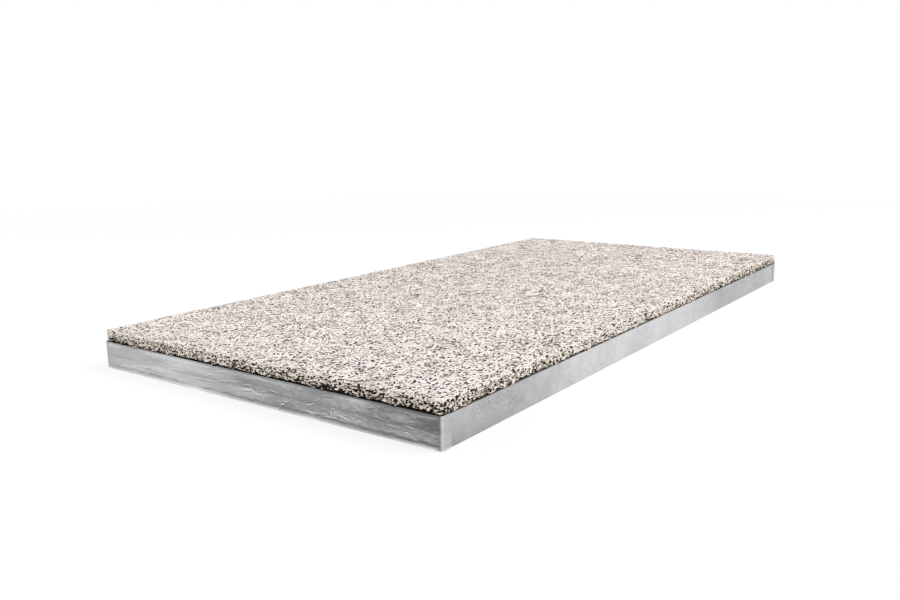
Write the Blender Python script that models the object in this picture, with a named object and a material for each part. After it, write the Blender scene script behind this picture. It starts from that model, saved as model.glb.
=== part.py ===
"""Laminated insulation board: a rigid foam core in foil facers, with a wood wool cement slab glued on top.

Frame: the origin is at the centre of the underside, +Y runs along the board's length, +X across it and
+Z up. The wood wool slab is the upper face. Sizes are in metres.
"""

import math
import random

import bmesh
import bpy
from mathutils import Vector

# Driving dimensions of the board
BOARD_LENGTH = 1.200
BOARD_WIDTH = 0.600
CORE_HEIGHT = 0.0380
SLAB_THICKNESS = 0.0166
FOIL_THICKNESS = 0.0004
FIT_GAP = 0.0003

# Foil folds and laps
FOLD_RADIUS = 0.0015
FOLD_STEPS = 3
CORNER_LAP = 0.016
CORNER_RADIUS = 0.0010
TOP_LAP = 0.020

# Creases in the foil strip on each end
CREASE_HEIGHT = 0.0008
CREASE_COUNT = 16
CREASE_HALF_WIDTH = 0.007
CREASE_LENGTHS = (0.035, 0.120)
CREASE_LEAN = math.radians(24)
CREASE_SEED = 11
END_COLUMN_PITCH = 0.0125
END_ROWS = 7

# Adhesive between the foil and the slab
BEAD_COUNT = 6
BEAD_WIDTH = 0.014
BEAD_HEIGHT = 0.0006
BEAD_EDGE_MARGIN = 0.045
BEAD_END_MARGIN = 0.008
BEAD_ROUND_STEPS = 6

# Wood wool cement slab: outline, raised strands and pores
SLAB_INSET = 0.0003
SLAB_CORNER_RADIUS = 0.006
SLAB_CORNER_STEPS = 3
EDGE_PITCH = 0.018
EDGE_LAYERS = 3
EDGE_ROUGHNESS = 0.0018
TOP_ARRIS = 0.0026
STRAND_HEIGHT = 0.0010
STRAND_ROOT_DEPTH = 0.0012
STRAND_HALF_WIDTH = 0.0026
STRAND_END_SHARE = 0.4
STRAND_LENGTHS = (0.045, 0.095)
STRAND_MAX_TURN = math.radians(75)
STRAND_COUNT = 430
STRAND_STEPS = 3
STRAND_CLEARANCE = 0.0012
STRAND_EDGE_MARGIN = 0.002
PORE_COUNT = 100
PORE_RADII = (0.0022, 0.0042)
PORE_DEPTH = 0.0035
PORE_SPACING = 0.0126
PORE_EDGE_MARGIN = 0.0084
SLAB_SEED = 5
PLACING_TRIES = 60
CLEARANCE_SAMPLES = 6

# Planes and heights that follow from the sizes above
FOIL_STEP = FOIL_THICKNESS + FIT_GAP
SLAB_BOTTOM = CORE_HEIGHT + BEAD_HEIGHT + 2 * FIT_GAP
END_PLANE = BOARD_LENGTH / 2 - CREASE_HEIGHT
LAP_PLANE = BOARD_WIDTH / 2
SIDE_PLANE = LAP_PLANE - FOIL_STEP
SHEET_END = END_PLANE - max(FOIL_STEP, CORNER_RADIUS)

COLOURS = {
    "wood_wool": ((0.66, 0.60, 0.53), 0.95, 0.0),
    "foil": ((0.62, 0.63, 0.65), 0.38, 0.85),
    "foam": ((0.86, 0.77, 0.52), 0.90, 0.0),
    "adhesive": ((0.80, 0.70, 0.42), 0.55, 0.0),
}


def clear_scene():
    """Removes whatever the startup scene holds."""
    for thing in list(bpy.data.objects):
        bpy.data.objects.remove(thing)


def material(name):
    """A Principled material with the colour, roughness and metallic value listed for this finish."""
    found = bpy.data.materials.get(name)
    if found:
        return found
    colour, roughness, metallic = COLOURS[name]
    made = bpy.data.materials.new(name)
    made.use_nodes = True
    shader = made.node_tree.nodes["Principled BSDF"]
    shader.inputs["Base Color"].default_value = (*colour, 1.0)
    shader.inputs["Roughness"].default_value = roughness
    shader.inputs["Metallic"].default_value = metallic
    return made


def add_object(name, mesh, finish, parent):
    """Puts a mesh in the scene as one named sub-part of the board."""
    made = bpy.data.objects.new(name, mesh)
    bpy.context.scene.collection.objects.link(made)
    made.data.materials.append(material(finish))
    made.parent = parent
    return made


def mesh_of(name, build, closed=True):
    """A mesh whose geometry is made by build(bm). A closed one has its faces turned outwards."""
    bm = bmesh.new()
    build(bm)
    if closed:
        bmesh.ops.recalc_face_normals(bm, faces=bm.faces)
    made = bpy.data.meshes.new(name)
    bm.to_mesh(made)
    bm.free()
    return made


def arc(centre, radius, start, end, steps):
    """Points along an arc in a plane, as (first, second) coordinates, both ends included."""
    angles = [start + (end - start) * i / steps for i in range(steps + 1)]
    return [
        (centre[0] + radius * math.cos(a), centre[1] + radius * math.sin(a))
        for a in angles
    ]


def extruded(profile, half_length):
    """A closed XZ profile drawn out along Y, symmetric about the middle of the board."""

    def build(bm):
        ring = [bm.verts.new((x, -half_length, z)) for x, z in profile]
        face = bm.faces.new(ring)
        moved = bmesh.ops.extrude_face_region(bm, geom=[face])["geom"]
        verts = [v for v in moved if isinstance(v, bmesh.types.BMVert)]
        bmesh.ops.translate(bm, verts=verts, vec=(0, 2 * half_length, 0))

    return build


def rounded_bottom(half_width, bottom, top, radius):
    """One open run of points, from the top right corner down, across and up to the top left corner."""
    right = arc(
        (half_width - radius, bottom + radius), radius, 0, -math.pi / 2, FOLD_STEPS
    )
    left = [(-x, z) for x, z in reversed(right)]
    return [(half_width, top), *right, *left, (-half_width, top)]


def build_foam_core(board):
    """The foam slab: square on top, its two lower long arrises rounded where the foil folds round them."""
    outline = rounded_bottom(
        SIDE_PLANE - FOIL_STEP,
        FOIL_STEP,
        CORE_HEIGHT - FOIL_STEP,
        FOLD_RADIUS - FIT_GAP,
    )
    mesh = mesh_of("foam_core", extruded(outline, SHEET_END))
    add_object("foam_core", mesh, "foam", board)


def build_lower_foil(board):
    """The lower facer: one sheet under the foam, folded up over both long edges to the top of the core."""
    outer = rounded_bottom(SIDE_PLANE, 0.0, CORE_HEIGHT, FOLD_RADIUS + FOIL_THICKNESS)
    inner = rounded_bottom(
        SIDE_PLANE - FOIL_THICKNESS, FOIL_THICKNESS, CORE_HEIGHT, FOLD_RADIUS
    )
    mesh = mesh_of("lower_foil", extruded([*outer, *reversed(inner)], SHEET_END))
    add_object("lower_foil", mesh, "foil", board)


def build_upper_foil(board):
    """The upper facer: a flat sheet on the foam, between the folded-up edges of the lower one."""
    half_width = SIDE_PLANE - FOIL_STEP
    bottom = CORE_HEIGHT - FOIL_THICKNESS
    outline = [
        (half_width, CORE_HEIGHT),
        (half_width, bottom),
        (-half_width, bottom),
        (-half_width, CORE_HEIGHT),
    ]
    mesh = mesh_of("upper_foil", extruded(outline, SHEET_END))
    add_object("upper_foil", mesh, "foil", board)


class Crease:
    """One shallow tented wrinkle in a foil strip: a ridge along a short line on the end face."""

    def __init__(self, rng, half_span, low, high):
        """Draws the crease's place, lean, length and share of the full height."""
        lean = rng.uniform(-CREASE_LEAN, CREASE_LEAN)
        self.middle = Vector(
            (rng.uniform(-half_span, half_span), rng.uniform(low, high))
        )
        self.along = Vector((math.cos(lean), math.sin(lean)))
        self.half_length = rng.uniform(*CREASE_LENGTHS) / 2
        self.share = rng.uniform(0.45, 1.0)

    def height(self, x, z):
        """How far the foil stands off at this point, as a share of the full crease height."""
        offset = Vector((x, z)) - self.middle
        along = abs(offset.dot(self.along)) / self.half_length
        across = abs(offset.cross(self.along)) / CREASE_HALF_WIDTH
        return self.share * max(0.0, 1 - along) * max(0.0, 1 - across)


def end_foil_stations():
    """The end strip's plan: (x, y, outward normal, share of the creases) from one corner lap to the other."""
    fold_x = LAP_PLANE - CORNER_RADIUS
    fold_y = END_PLANE - CORNER_RADIUS
    count = max(2, round(2 * fold_x / END_COLUMN_PITCH))
    right = [(LAP_PLANE, END_PLANE - CORNER_LAP, Vector((1, 0)), 0.0)]
    for x, y in arc((fold_x, fold_y), CORNER_RADIUS, 0, math.pi / 2, FOLD_STEPS):
        normal = Vector((x - fold_x, y - fold_y)).normalized()
        right.append((x, y, normal, 0.0))
    face = [
        (fold_x - 2 * fold_x * i / count, END_PLANE, Vector((0, 1)), 1.0)
        for i in range(1, count)
    ]
    left = [(-x, y, Vector((-n.x, n.y)), share) for x, y, n, share in reversed(right)]
    return [*right, *face, *left]


def build_end_foil_mesh():
    """The creased strip on one end: the end face, a lap round each upright corner and one over the top."""
    rng = random.Random(CREASE_SEED)
    low = FOIL_STEP
    high = CORE_HEIGHT + FOIL_STEP
    creases = [
        Crease(rng, SIDE_PLANE, low + CREASE_HALF_WIDTH, high - CREASE_HALF_WIDTH)
        for _ in range(CREASE_COUNT)
    ]
    stations = end_foil_stations()
    heights = [low + (high - low) * i / END_ROWS for i in range(END_ROWS + 1)]

    def raised(x, z):
        return min(1.0, sum(c.height(x, z) for c in creases))

    tallest = max(raised(x, z) for x, _, _, share in stations for z in heights if share)

    def build(bm):
        rows = []
        for z in heights:
            row = []
            for x, y, normal, share in stations:
                edge = z in (heights[0], heights[-1])
                lift = 0.0 if edge else share * raised(x, z) / tallest * CREASE_HEIGHT
                row.append(bm.verts.new((x + normal.x * lift, y + normal.y * lift, z)))
            rows.append(row)
        for lower, upper in zip(rows, rows[1:]):
            for i in range(len(stations) - 1):
                bm.faces.new((lower[i], lower[i + 1], upper[i + 1], upper[i]))
        top = [
            v
            for v, (x, _, _, share) in zip(rows[-1], stations)
            if share and abs(x) < SIDE_PLANE - CORNER_LAP
        ]
        lap = [
            bm.verts.new((v.co.x, END_PLANE - TOP_LAP, high)) for v in (top[0], top[-1])
        ]
        bm.faces.new([*top, lap[1], lap[0]])

    return mesh_of("end_foil", build, closed=False)


def build_end_foils(board):
    """Both end strips share one mesh: the back one is the front one turned half round."""
    mesh = build_end_foil_mesh()
    for name, turn in (("end_foil_back", 0.0), ("end_foil_front", math.pi)):
        strip = add_object(name, mesh, "foil", board)
        strip.rotation_euler.z = turn
        sheet = strip.modifiers.new("sheet", "SOLIDIFY")
        sheet.thickness = FOIL_THICKNESS
        sheet.offset = -1.0
        sheet.use_even_offset = True


def build_adhesive_beads(board):
    """Flattened beads of glue along the board, with round edges, between the upper foil and the slab."""
    half_height = BEAD_HEIGHT / 2
    middle = CORE_HEIGHT + FIT_GAP + half_height
    shoulder = BEAD_WIDTH / 2 - half_height
    half_length = END_PLANE - TOP_LAP - BEAD_END_MARGIN
    pitch = (BOARD_WIDTH - 2 * BEAD_EDGE_MARGIN) / (BEAD_COUNT - 1)
    quarter = math.pi / 2
    right = arc((shoulder, middle), half_height, quarter, -quarter, BEAD_ROUND_STEPS)
    left = [(-x, z) for x, z in reversed(right)]
    mesh = mesh_of("adhesive_bead", extruded([*right, *left], half_length))
    for i in range(BEAD_COUNT):
        bead = add_object(f"adhesive_bead_{i + 1}", mesh, "adhesive", board)
        bead.location.x = -SIDE_PLANE + BEAD_EDGE_MARGIN + pitch * i


def slab_outline(half_x, half_y):
    """Points round the slab's rounded rectangle, each with the direction that points inwards."""
    in_x, in_y = half_x - SLAB_CORNER_RADIUS, half_y - SLAB_CORNER_RADIUS
    quarter = math.pi / 2
    corners = []
    for i, centre in enumerate(((in_x, -in_y), (in_x, in_y), (-in_x, in_y), (-in_x, -in_y))):
        start = (i - 1) * quarter
        turn = arc(centre, SLAB_CORNER_RADIUS, start, start + quarter, SLAB_CORNER_STEPS)
        corners.append([(Vector(p), (Vector(centre) - Vector(p)).normalized()) for p in turn])
    points = []
    for corner, following in zip(corners, corners[1:] + corners[:1]):
        points += corner
        start, inward = corner[-1]
        side = following[0][0] - start
        count = max(1, round(side.length / EDGE_PITCH))
        points += [(start + side * i / count, inward) for i in range(1, count)]
    return points


def build_slab_body(rng):
    """The pressed slab: torn edges in layers, a crumbled top arris, and a flat top and underside."""
    points = slab_outline(LAP_PLANE - SLAB_INSET, END_PLANE - SLAB_INSET)
    side_height = SLAB_THICKNESS - TOP_ARRIS
    heights = [side_height * i / EDGE_LAYERS for i in range(EDGE_LAYERS + 1)]
    heights.append(SLAB_THICKNESS)

    def build(bm):
        loops = []
        for level, height in enumerate(heights):
            arris = TOP_ARRIS if level == len(heights) - 1 else 0.0
            loop = []
            for point, inward in points:
                worn = point + inward * (arris + rng.uniform(0, EDGE_ROUGHNESS))
                loop.append(bm.verts.new((worn.x, worn.y, height)))
            loops.append(loop)
        for lower, upper in zip(loops, loops[1:]):
            for i in range(len(points)):
                j = (i + 1) % len(points)
                bm.faces.new((lower[i], lower[j], upper[j], upper[i]))
        bm.faces.new(loops[-1])
        bm.faces.new(list(reversed(loops[0])))

    return mesh_of("wood_wool_slab", build)


def strand_path(rng, half_x, half_y):
    """One strand's centre line on the slab's top: even points on an arc, each with the direction across."""
    length = rng.uniform(*STRAND_LENGTHS)
    bend = rng.uniform(-STRAND_MAX_TURN, STRAND_MAX_TURN) / STRAND_STEPS
    heading = rng.uniform(0, 2 * math.pi)
    here = Vector((rng.uniform(-half_x, half_x), rng.uniform(-half_y, half_y)))
    path = []
    for _ in range(STRAND_STEPS + 1):
        path.append((here.copy(), Vector((-math.sin(heading), math.cos(heading)))))
        chord = heading + bend / 2
        here += Vector((math.cos(chord), math.sin(chord))) * (length / STRAND_STEPS)
        heading += bend
    return path


def distance_to_path(point, path):
    """Shortest distance from a point to a strand's centre line."""
    nearest = math.inf
    for (a, _), (b, _) in zip(path, path[1:]):
        along = b - a
        share = max(0.0, min(1.0, (point - a).dot(along) / along.length_squared))
        nearest = min(nearest, (point - a - along * share).length)
    return nearest


def within(point, half_x, half_y):
    """True if a point lies inside the rectangle."""
    return abs(point.x) < half_x and abs(point.y) < half_y


def paths_clear(path, others, clearance):
    """True if two strands never come closer than the clearance, tested at points along both."""
    dense = []
    for (a, _), (b, _) in zip(path, path[1:]):
        dense += [a.lerp(b, i / CLEARANCE_SAMPLES) for i in range(CLEARANCE_SAMPLES + 1)]
    reach = STRAND_LENGTHS[1] + clearance
    for other in others:
        if (other[0][0] - path[0][0]).length > 2 * reach:
            continue
        if any(distance_to_path(p, other) < clearance for p in dense):
            return False
    return True


def lay_strands(rng):
    """Places the raised strands by trial, so that none crosses another or hangs over the edge."""
    margin = SLAB_INSET + TOP_ARRIS + EDGE_ROUGHNESS + STRAND_EDGE_MARGIN
    half_x, half_y = SIDE_PLANE - margin, END_PLANE - margin
    clearance = 2 * STRAND_HALF_WIDTH + STRAND_CLEARANCE
    strands = []
    for _ in range(STRAND_COUNT * PLACING_TRIES):
        if len(strands) == STRAND_COUNT:
            break
        path = strand_path(rng, half_x, half_y)
        inside = all(within(p, half_x, half_y) for p, _ in path)
        if inside and paths_clear(path, strands, clearance):
            strands.append(path)
    return strands


def add_strand(bm, path):
    """One raised strand: a three-sided ridge whose root is in the slab and whose ends dive under its face."""
    sections = []
    low = SLAB_THICKNESS - STRAND_ROOT_DEPTH
    for i, (point, across) in enumerate(path):
        share = STRAND_END_SHARE if i in (0, len(path) - 1) else 1.0
        half = across * (STRAND_HALF_WIDTH * share)
        left, right = point + half, point - half
        crest = low + (STRAND_ROOT_DEPTH + STRAND_HEIGHT) * share
        sections.append(
            [
                bm.verts.new((left.x, left.y, low)),
                bm.verts.new((right.x, right.y, low)),
                bm.verts.new((point.x, point.y, crest)),
            ]
        )
    for a, b in zip(sections, sections[1:]):
        for i in range(3):
            j = (i + 1) % 3
            bm.faces.new((a[i], b[i], b[j], a[j]))
    bm.faces.new(reversed(sections[0]))
    bm.faces.new(sections[-1])


def place_pores(rng, strands):
    """Points between the strands for the open pores, with a radius for each."""
    margin = SLAB_INSET + TOP_ARRIS + EDGE_ROUGHNESS + PORE_EDGE_MARGIN
    half_x, half_y = SIDE_PLANE - margin, END_PLANE - margin
    pores = []
    for _ in range(PORE_COUNT * PLACING_TRIES):
        if len(pores) == PORE_COUNT:
            break
        point = Vector((rng.uniform(-half_x, half_x), rng.uniform(-half_y, half_y)))
        radius = rng.uniform(*PORE_RADII)
        room = radius + STRAND_HALF_WIDTH + STRAND_CLEARANCE
        apart = all((point - other).length > PORE_SPACING for other, _ in pores)
        if apart and all(distance_to_path(point, s) > room for s in strands):
            pores.append((point, radius))
    return pores


def add_pore(bm, point, radius, turn):
    """The cutter for one pore: a three-sided pit that narrows to a point."""
    top = SLAB_THICKNESS + STRAND_HEIGHT
    widened = radius * (PORE_DEPTH + STRAND_HEIGHT) / PORE_DEPTH
    rim = []
    for i in range(3):
        angle = turn + 2 * math.pi * i / 3
        offset = Vector((math.cos(angle), math.sin(angle))) * widened
        rim.append(bm.verts.new((point.x + offset.x, point.y + offset.y, top)))
    tip = bm.verts.new((point.x, point.y, SLAB_THICKNESS - PORE_DEPTH))
    bm.faces.new(rim)
    for i in range(3):
        bm.faces.new((rim[(i + 1) % 3], rim[i], tip))


def helper(name, mesh, board):
    """A shape that only shapes another: kept out of the model itself."""
    made = bpy.data.objects.new(name, mesh)
    bpy.context.scene.collection.objects.link(made)
    made.parent = board
    made.location.z = SLAB_BOTTOM
    made.hide_render = True
    made.display_type = "WIRE"
    return made


def combine(target, name, operation, other):
    """Adds an exact Boolean of this helper to the target."""
    made = target.modifiers.new(name, "BOOLEAN")
    made.operation = operation
    made.solver = "EXACT"
    made.object = other


def build_wood_wool_slab(board):
    """The wood wool cement slab, with raised strands and open pores on its face."""
    rng = random.Random(SLAB_SEED)
    slab = add_object("wood_wool_slab", build_slab_body(rng), "wood_wool", board)
    slab.location.z = SLAB_BOTTOM
    strands = lay_strands(rng)
    pores = place_pores(rng, strands)

    def ridges(bm):
        for path in strands:
            add_strand(bm, path)

    def pits(bm):
        for point, radius in pores:
            add_pore(bm, point, radius, rng.uniform(0, 2 * math.pi))

    combine(slab, "strands", "UNION", helper("strand_ridges", mesh_of("ridges", ridges), board))
    combine(slab, "pores", "DIFFERENCE", helper("pore_cutters", mesh_of("pits", pits), board))


def main():
    """Builds every sub-part under one empty named board."""
    clear_scene()
    board = bpy.data.objects.new("board", None)
    bpy.context.scene.collection.objects.link(board)
    build_foam_core(board)
    build_lower_foil(board)
    build_upper_foil(board)
    build_end_foils(board)
    build_adhesive_beads(board)
    build_wood_wool_slab(board)


main()
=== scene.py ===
"""Looks of a laminated insulation board: wood wool strands on top, foil round the core, and a studio.

Everything is in metres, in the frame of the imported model: the origin is at the centre of the underside,
+Y runs along the board, +X across it and +Z up.
"""

from __future__ import annotations

import logging
import math
from dataclasses import dataclass, field
from enum import Enum
from typing import Callable, Iterable

import bmesh
import bpy
import numpy as np
from mathutils import Matrix, Vector


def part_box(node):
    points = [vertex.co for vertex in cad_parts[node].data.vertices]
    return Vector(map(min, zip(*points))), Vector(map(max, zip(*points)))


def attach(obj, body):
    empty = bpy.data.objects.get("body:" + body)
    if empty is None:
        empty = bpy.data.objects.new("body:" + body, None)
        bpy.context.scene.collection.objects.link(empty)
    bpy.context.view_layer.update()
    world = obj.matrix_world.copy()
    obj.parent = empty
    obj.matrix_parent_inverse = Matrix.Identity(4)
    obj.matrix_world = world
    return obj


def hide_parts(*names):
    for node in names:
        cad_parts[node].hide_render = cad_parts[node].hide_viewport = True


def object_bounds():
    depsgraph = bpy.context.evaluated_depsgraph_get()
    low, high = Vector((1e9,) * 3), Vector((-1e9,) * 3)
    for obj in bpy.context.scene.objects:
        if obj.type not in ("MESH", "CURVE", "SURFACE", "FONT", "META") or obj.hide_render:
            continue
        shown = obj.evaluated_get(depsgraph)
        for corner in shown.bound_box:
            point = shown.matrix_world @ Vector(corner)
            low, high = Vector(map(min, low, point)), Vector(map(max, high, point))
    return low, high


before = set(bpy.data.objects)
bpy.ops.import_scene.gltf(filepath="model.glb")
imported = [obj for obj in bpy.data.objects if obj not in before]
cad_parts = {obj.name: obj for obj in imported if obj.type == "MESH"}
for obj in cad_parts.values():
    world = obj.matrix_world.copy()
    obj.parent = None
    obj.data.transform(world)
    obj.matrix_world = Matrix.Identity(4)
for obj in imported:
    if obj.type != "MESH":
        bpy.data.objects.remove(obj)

CAD_LOW, CAD_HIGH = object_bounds()
BODY = "root"
LOG = logging.getLogger("insulation_board")

# How far from the board's centre the noise patterns are read, on ragged edges and on the foil's faces.
EDGE_SHIFT = 5.0
FACE_SHIFT = 9.0

Colour = tuple[float, float, float]
Triple = tuple[float, float, float]
Stop = tuple[float, Colour]


def srgb(red: int, green: int, blue: int) -> Colour:
    """Turns a colour as a screen shows it into the linear values that a shader takes.

    Args:
        red: Red, from 0 to 255.
        green: Green, from 0 to 255.
        blue: Blue, from 0 to 255.

    Returns:
        The linear colour.
    """

    def channel(value: int) -> float:
        """One channel's linear value."""
        share = value / 255
        return share / 12.92 if share <= 0.04045 else ((share + 0.055) / 1.055) ** 2.4

    return channel(red), channel(green), channel(blue)


def hump(off: np.ndarray, width: float) -> np.ndarray:
    """A soft rise: 1 in its middle, and close to 0 from two widths off."""
    return np.exp(-((off / width) ** 2))


def zigzag(turn: np.ndarray) -> np.ndarray:
    """A wave with straight flanks and sharp turns, for an angle in radians."""
    return np.arcsin(np.sin(turn))


def placed(name: str, data: bpy.types.ID) -> bpy.types.Object:
    """Makes an object of some data and links it to the scene.

    Args:
        name: Name of the object.
        data: Its mesh, lamp or camera data.

    Returns:
        The object.
    """
    made = bpy.data.objects.new(name, data)
    bpy.context.scene.collection.objects.link(made)
    return made


class Slot(Enum):
    """Material slots of the record; the scene's own pieces are passed with one, though nothing reads it."""

    WOOD_WOOL = "wood_wool"
    FOIL = "foil"


class End(Enum):
    """The two short ends, by the direction that each one faces along Y."""

    FRONT = -1
    BACK = 1


class NodeGraph:
    """Adds and links the nodes of one material, world or lamp."""

    def __init__(self, tree: bpy.types.NodeTree) -> None:
        """Empties the tree, so that it holds only what is added here."""
        self.tree = tree
        tree.nodes.clear()

    def add(
        self, kind: str, inputs: dict[str | int, object] | None = None, **settings: object
    ) -> bpy.types.Node:
        """Adds a node.

        Args:
            kind: Blender's type name of the node.
            inputs: Values or output sockets for its inputs, by name or number.
            **settings: The node's own properties.

        Returns:
            The node.
        """
        node = self.tree.nodes.new(kind)
        for name, value in settings.items():
            setattr(node, name, value)
        for key, value in (inputs or {}).items():
            if isinstance(value, bpy.types.NodeSocket):
                self.tree.links.new(value, node.inputs[key])
            elif isinstance(value, tuple) and node.inputs[key].type == "RGBA" and len(value) == 3:
                node.inputs[key].default_value = (*value, 1.0)
            else:
                node.inputs[key].default_value = value
        return node

    def math(self, operation: str, *values: object, clamp: bool = False) -> bpy.types.NodeSocket:
        """Adds a Math node and returns its result."""
        node = self.add("ShaderNodeMath", dict(enumerate(values)), operation=operation, use_clamp=clamp)
        return node.outputs[0]

    def attribute(self, name: str) -> bpy.types.NodeSocket:
        """Reads a number that the mesh holds at each point."""
        return self.add("ShaderNodeAttribute", attribute_name=name).outputs["Fac"]

    def object_point(self) -> bpy.types.NodeSocket:
        """The shaded point in the object's own frame."""
        return self.add("ShaderNodeTexCoord").outputs["Object"]

    def stretched(self, point: bpy.types.NodeSocket, scale: Triple) -> bpy.types.NodeSocket:
        """Scales a point by a factor along each axis."""
        node = self.add("ShaderNodeMapping", {"Vector": point, "Scale": Vector(scale)})
        return node.outputs[0]

    def noise(self, point: bpy.types.NodeSocket, scale: float, detail: float = 2.0) -> bpy.types.NodeSocket:
        """Adds a noise pattern and returns its value, from 0 to 1."""
        node = self.add("ShaderNodeTexNoise", {"Vector": point, "Scale": scale, "Detail": detail})
        return node.outputs["Fac"]

    def ramp(self, value: bpy.types.NodeSocket, stops: Iterable[Stop]) -> bpy.types.NodeSocket:
        """Turns a value into a colour.

        Args:
            value: The value, from 0 to 1.
            stops: Positions from 0 to 1, each with its colour.

        Returns:
            The colour.
        """
        node = self.add("ShaderNodeValToRGB", {"Fac": value})
        elements = node.color_ramp.elements
        stops = tuple(stops)
        while len(elements) < len(stops):
            elements.new(0.5)
        for element, (position, colour) in zip(elements, stops):
            element.position = position
            element.color = (*colour, 1.0)
        return node.outputs["Color"]

    def mix(self, share: object, first: object, second: object, blend: str = "MIX") -> bpy.types.NodeSocket:
        """Mixes two colours.

        Args:
            share: How much of the second there is, from 0 to 1.
            first: The first colour.
            second: The second colour.
            blend: Blender's name of the way that they mix.

        Returns:
            The mixed colour.
        """
        inputs = {0: share, 6: first, 7: second}
        node = self.add("ShaderNodeMix", inputs, data_type="RGBA", blend_type=blend)
        return node.outputs[2]

    def bump(self, height: bpy.types.NodeSocket, distance: float) -> bpy.types.NodeSocket:
        """Turns a height pattern into a normal. The distance is the height's full range in metres."""
        inputs = {"Height": height, "Distance": distance, "Strength": 1.0}
        return self.add("ShaderNodeBump", inputs).outputs["Normal"]

    def principled(self, inputs: dict[str | int, object]) -> bpy.types.NodeSocket:
        """Adds the shader of a solid surface, with these inputs."""
        return self.add("ShaderNodeBsdfPrincipled", inputs).outputs[0]

    def seen(self) -> bpy.types.NodeSocket:
        """Tells which rays come from the camera, straight or by way of gloss or glass.

        Returns:
            1 for those rays and 0 for the light that falls on things.
        """
        path = self.add("ShaderNodeLightPath")
        direct = self.math("MAXIMUM", path.outputs["Is Camera Ray"], path.outputs["Is Glossy Ray"])
        return self.math("MAXIMUM", direct, path.outputs["Is Transmission Ray"])


@dataclass(frozen=True)
class Finish:
    """One surface finish: a named material that is made once and shared."""

    name: str

    def material(self) -> bpy.types.Material:
        """Gives the finish's material, which is made the first time that it is asked for.

        Returns:
            The material.
        """
        found = bpy.data.materials.get(self.name)
        if found:
            return found
        made = bpy.data.materials.new(self.name)
        made.use_nodes = True
        graph = NodeGraph(made.node_tree)
        surface = self.surface(graph)
        graph.add("ShaderNodeOutputMaterial", {"Surface": surface})
        return made

    def surface(self, graph: NodeGraph) -> bpy.types.NodeSocket:
        """Builds the finish's shader.

        Args:
            graph: The material's graph.

        Returns:
            The shader.
        """
        raise NotImplementedError


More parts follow.
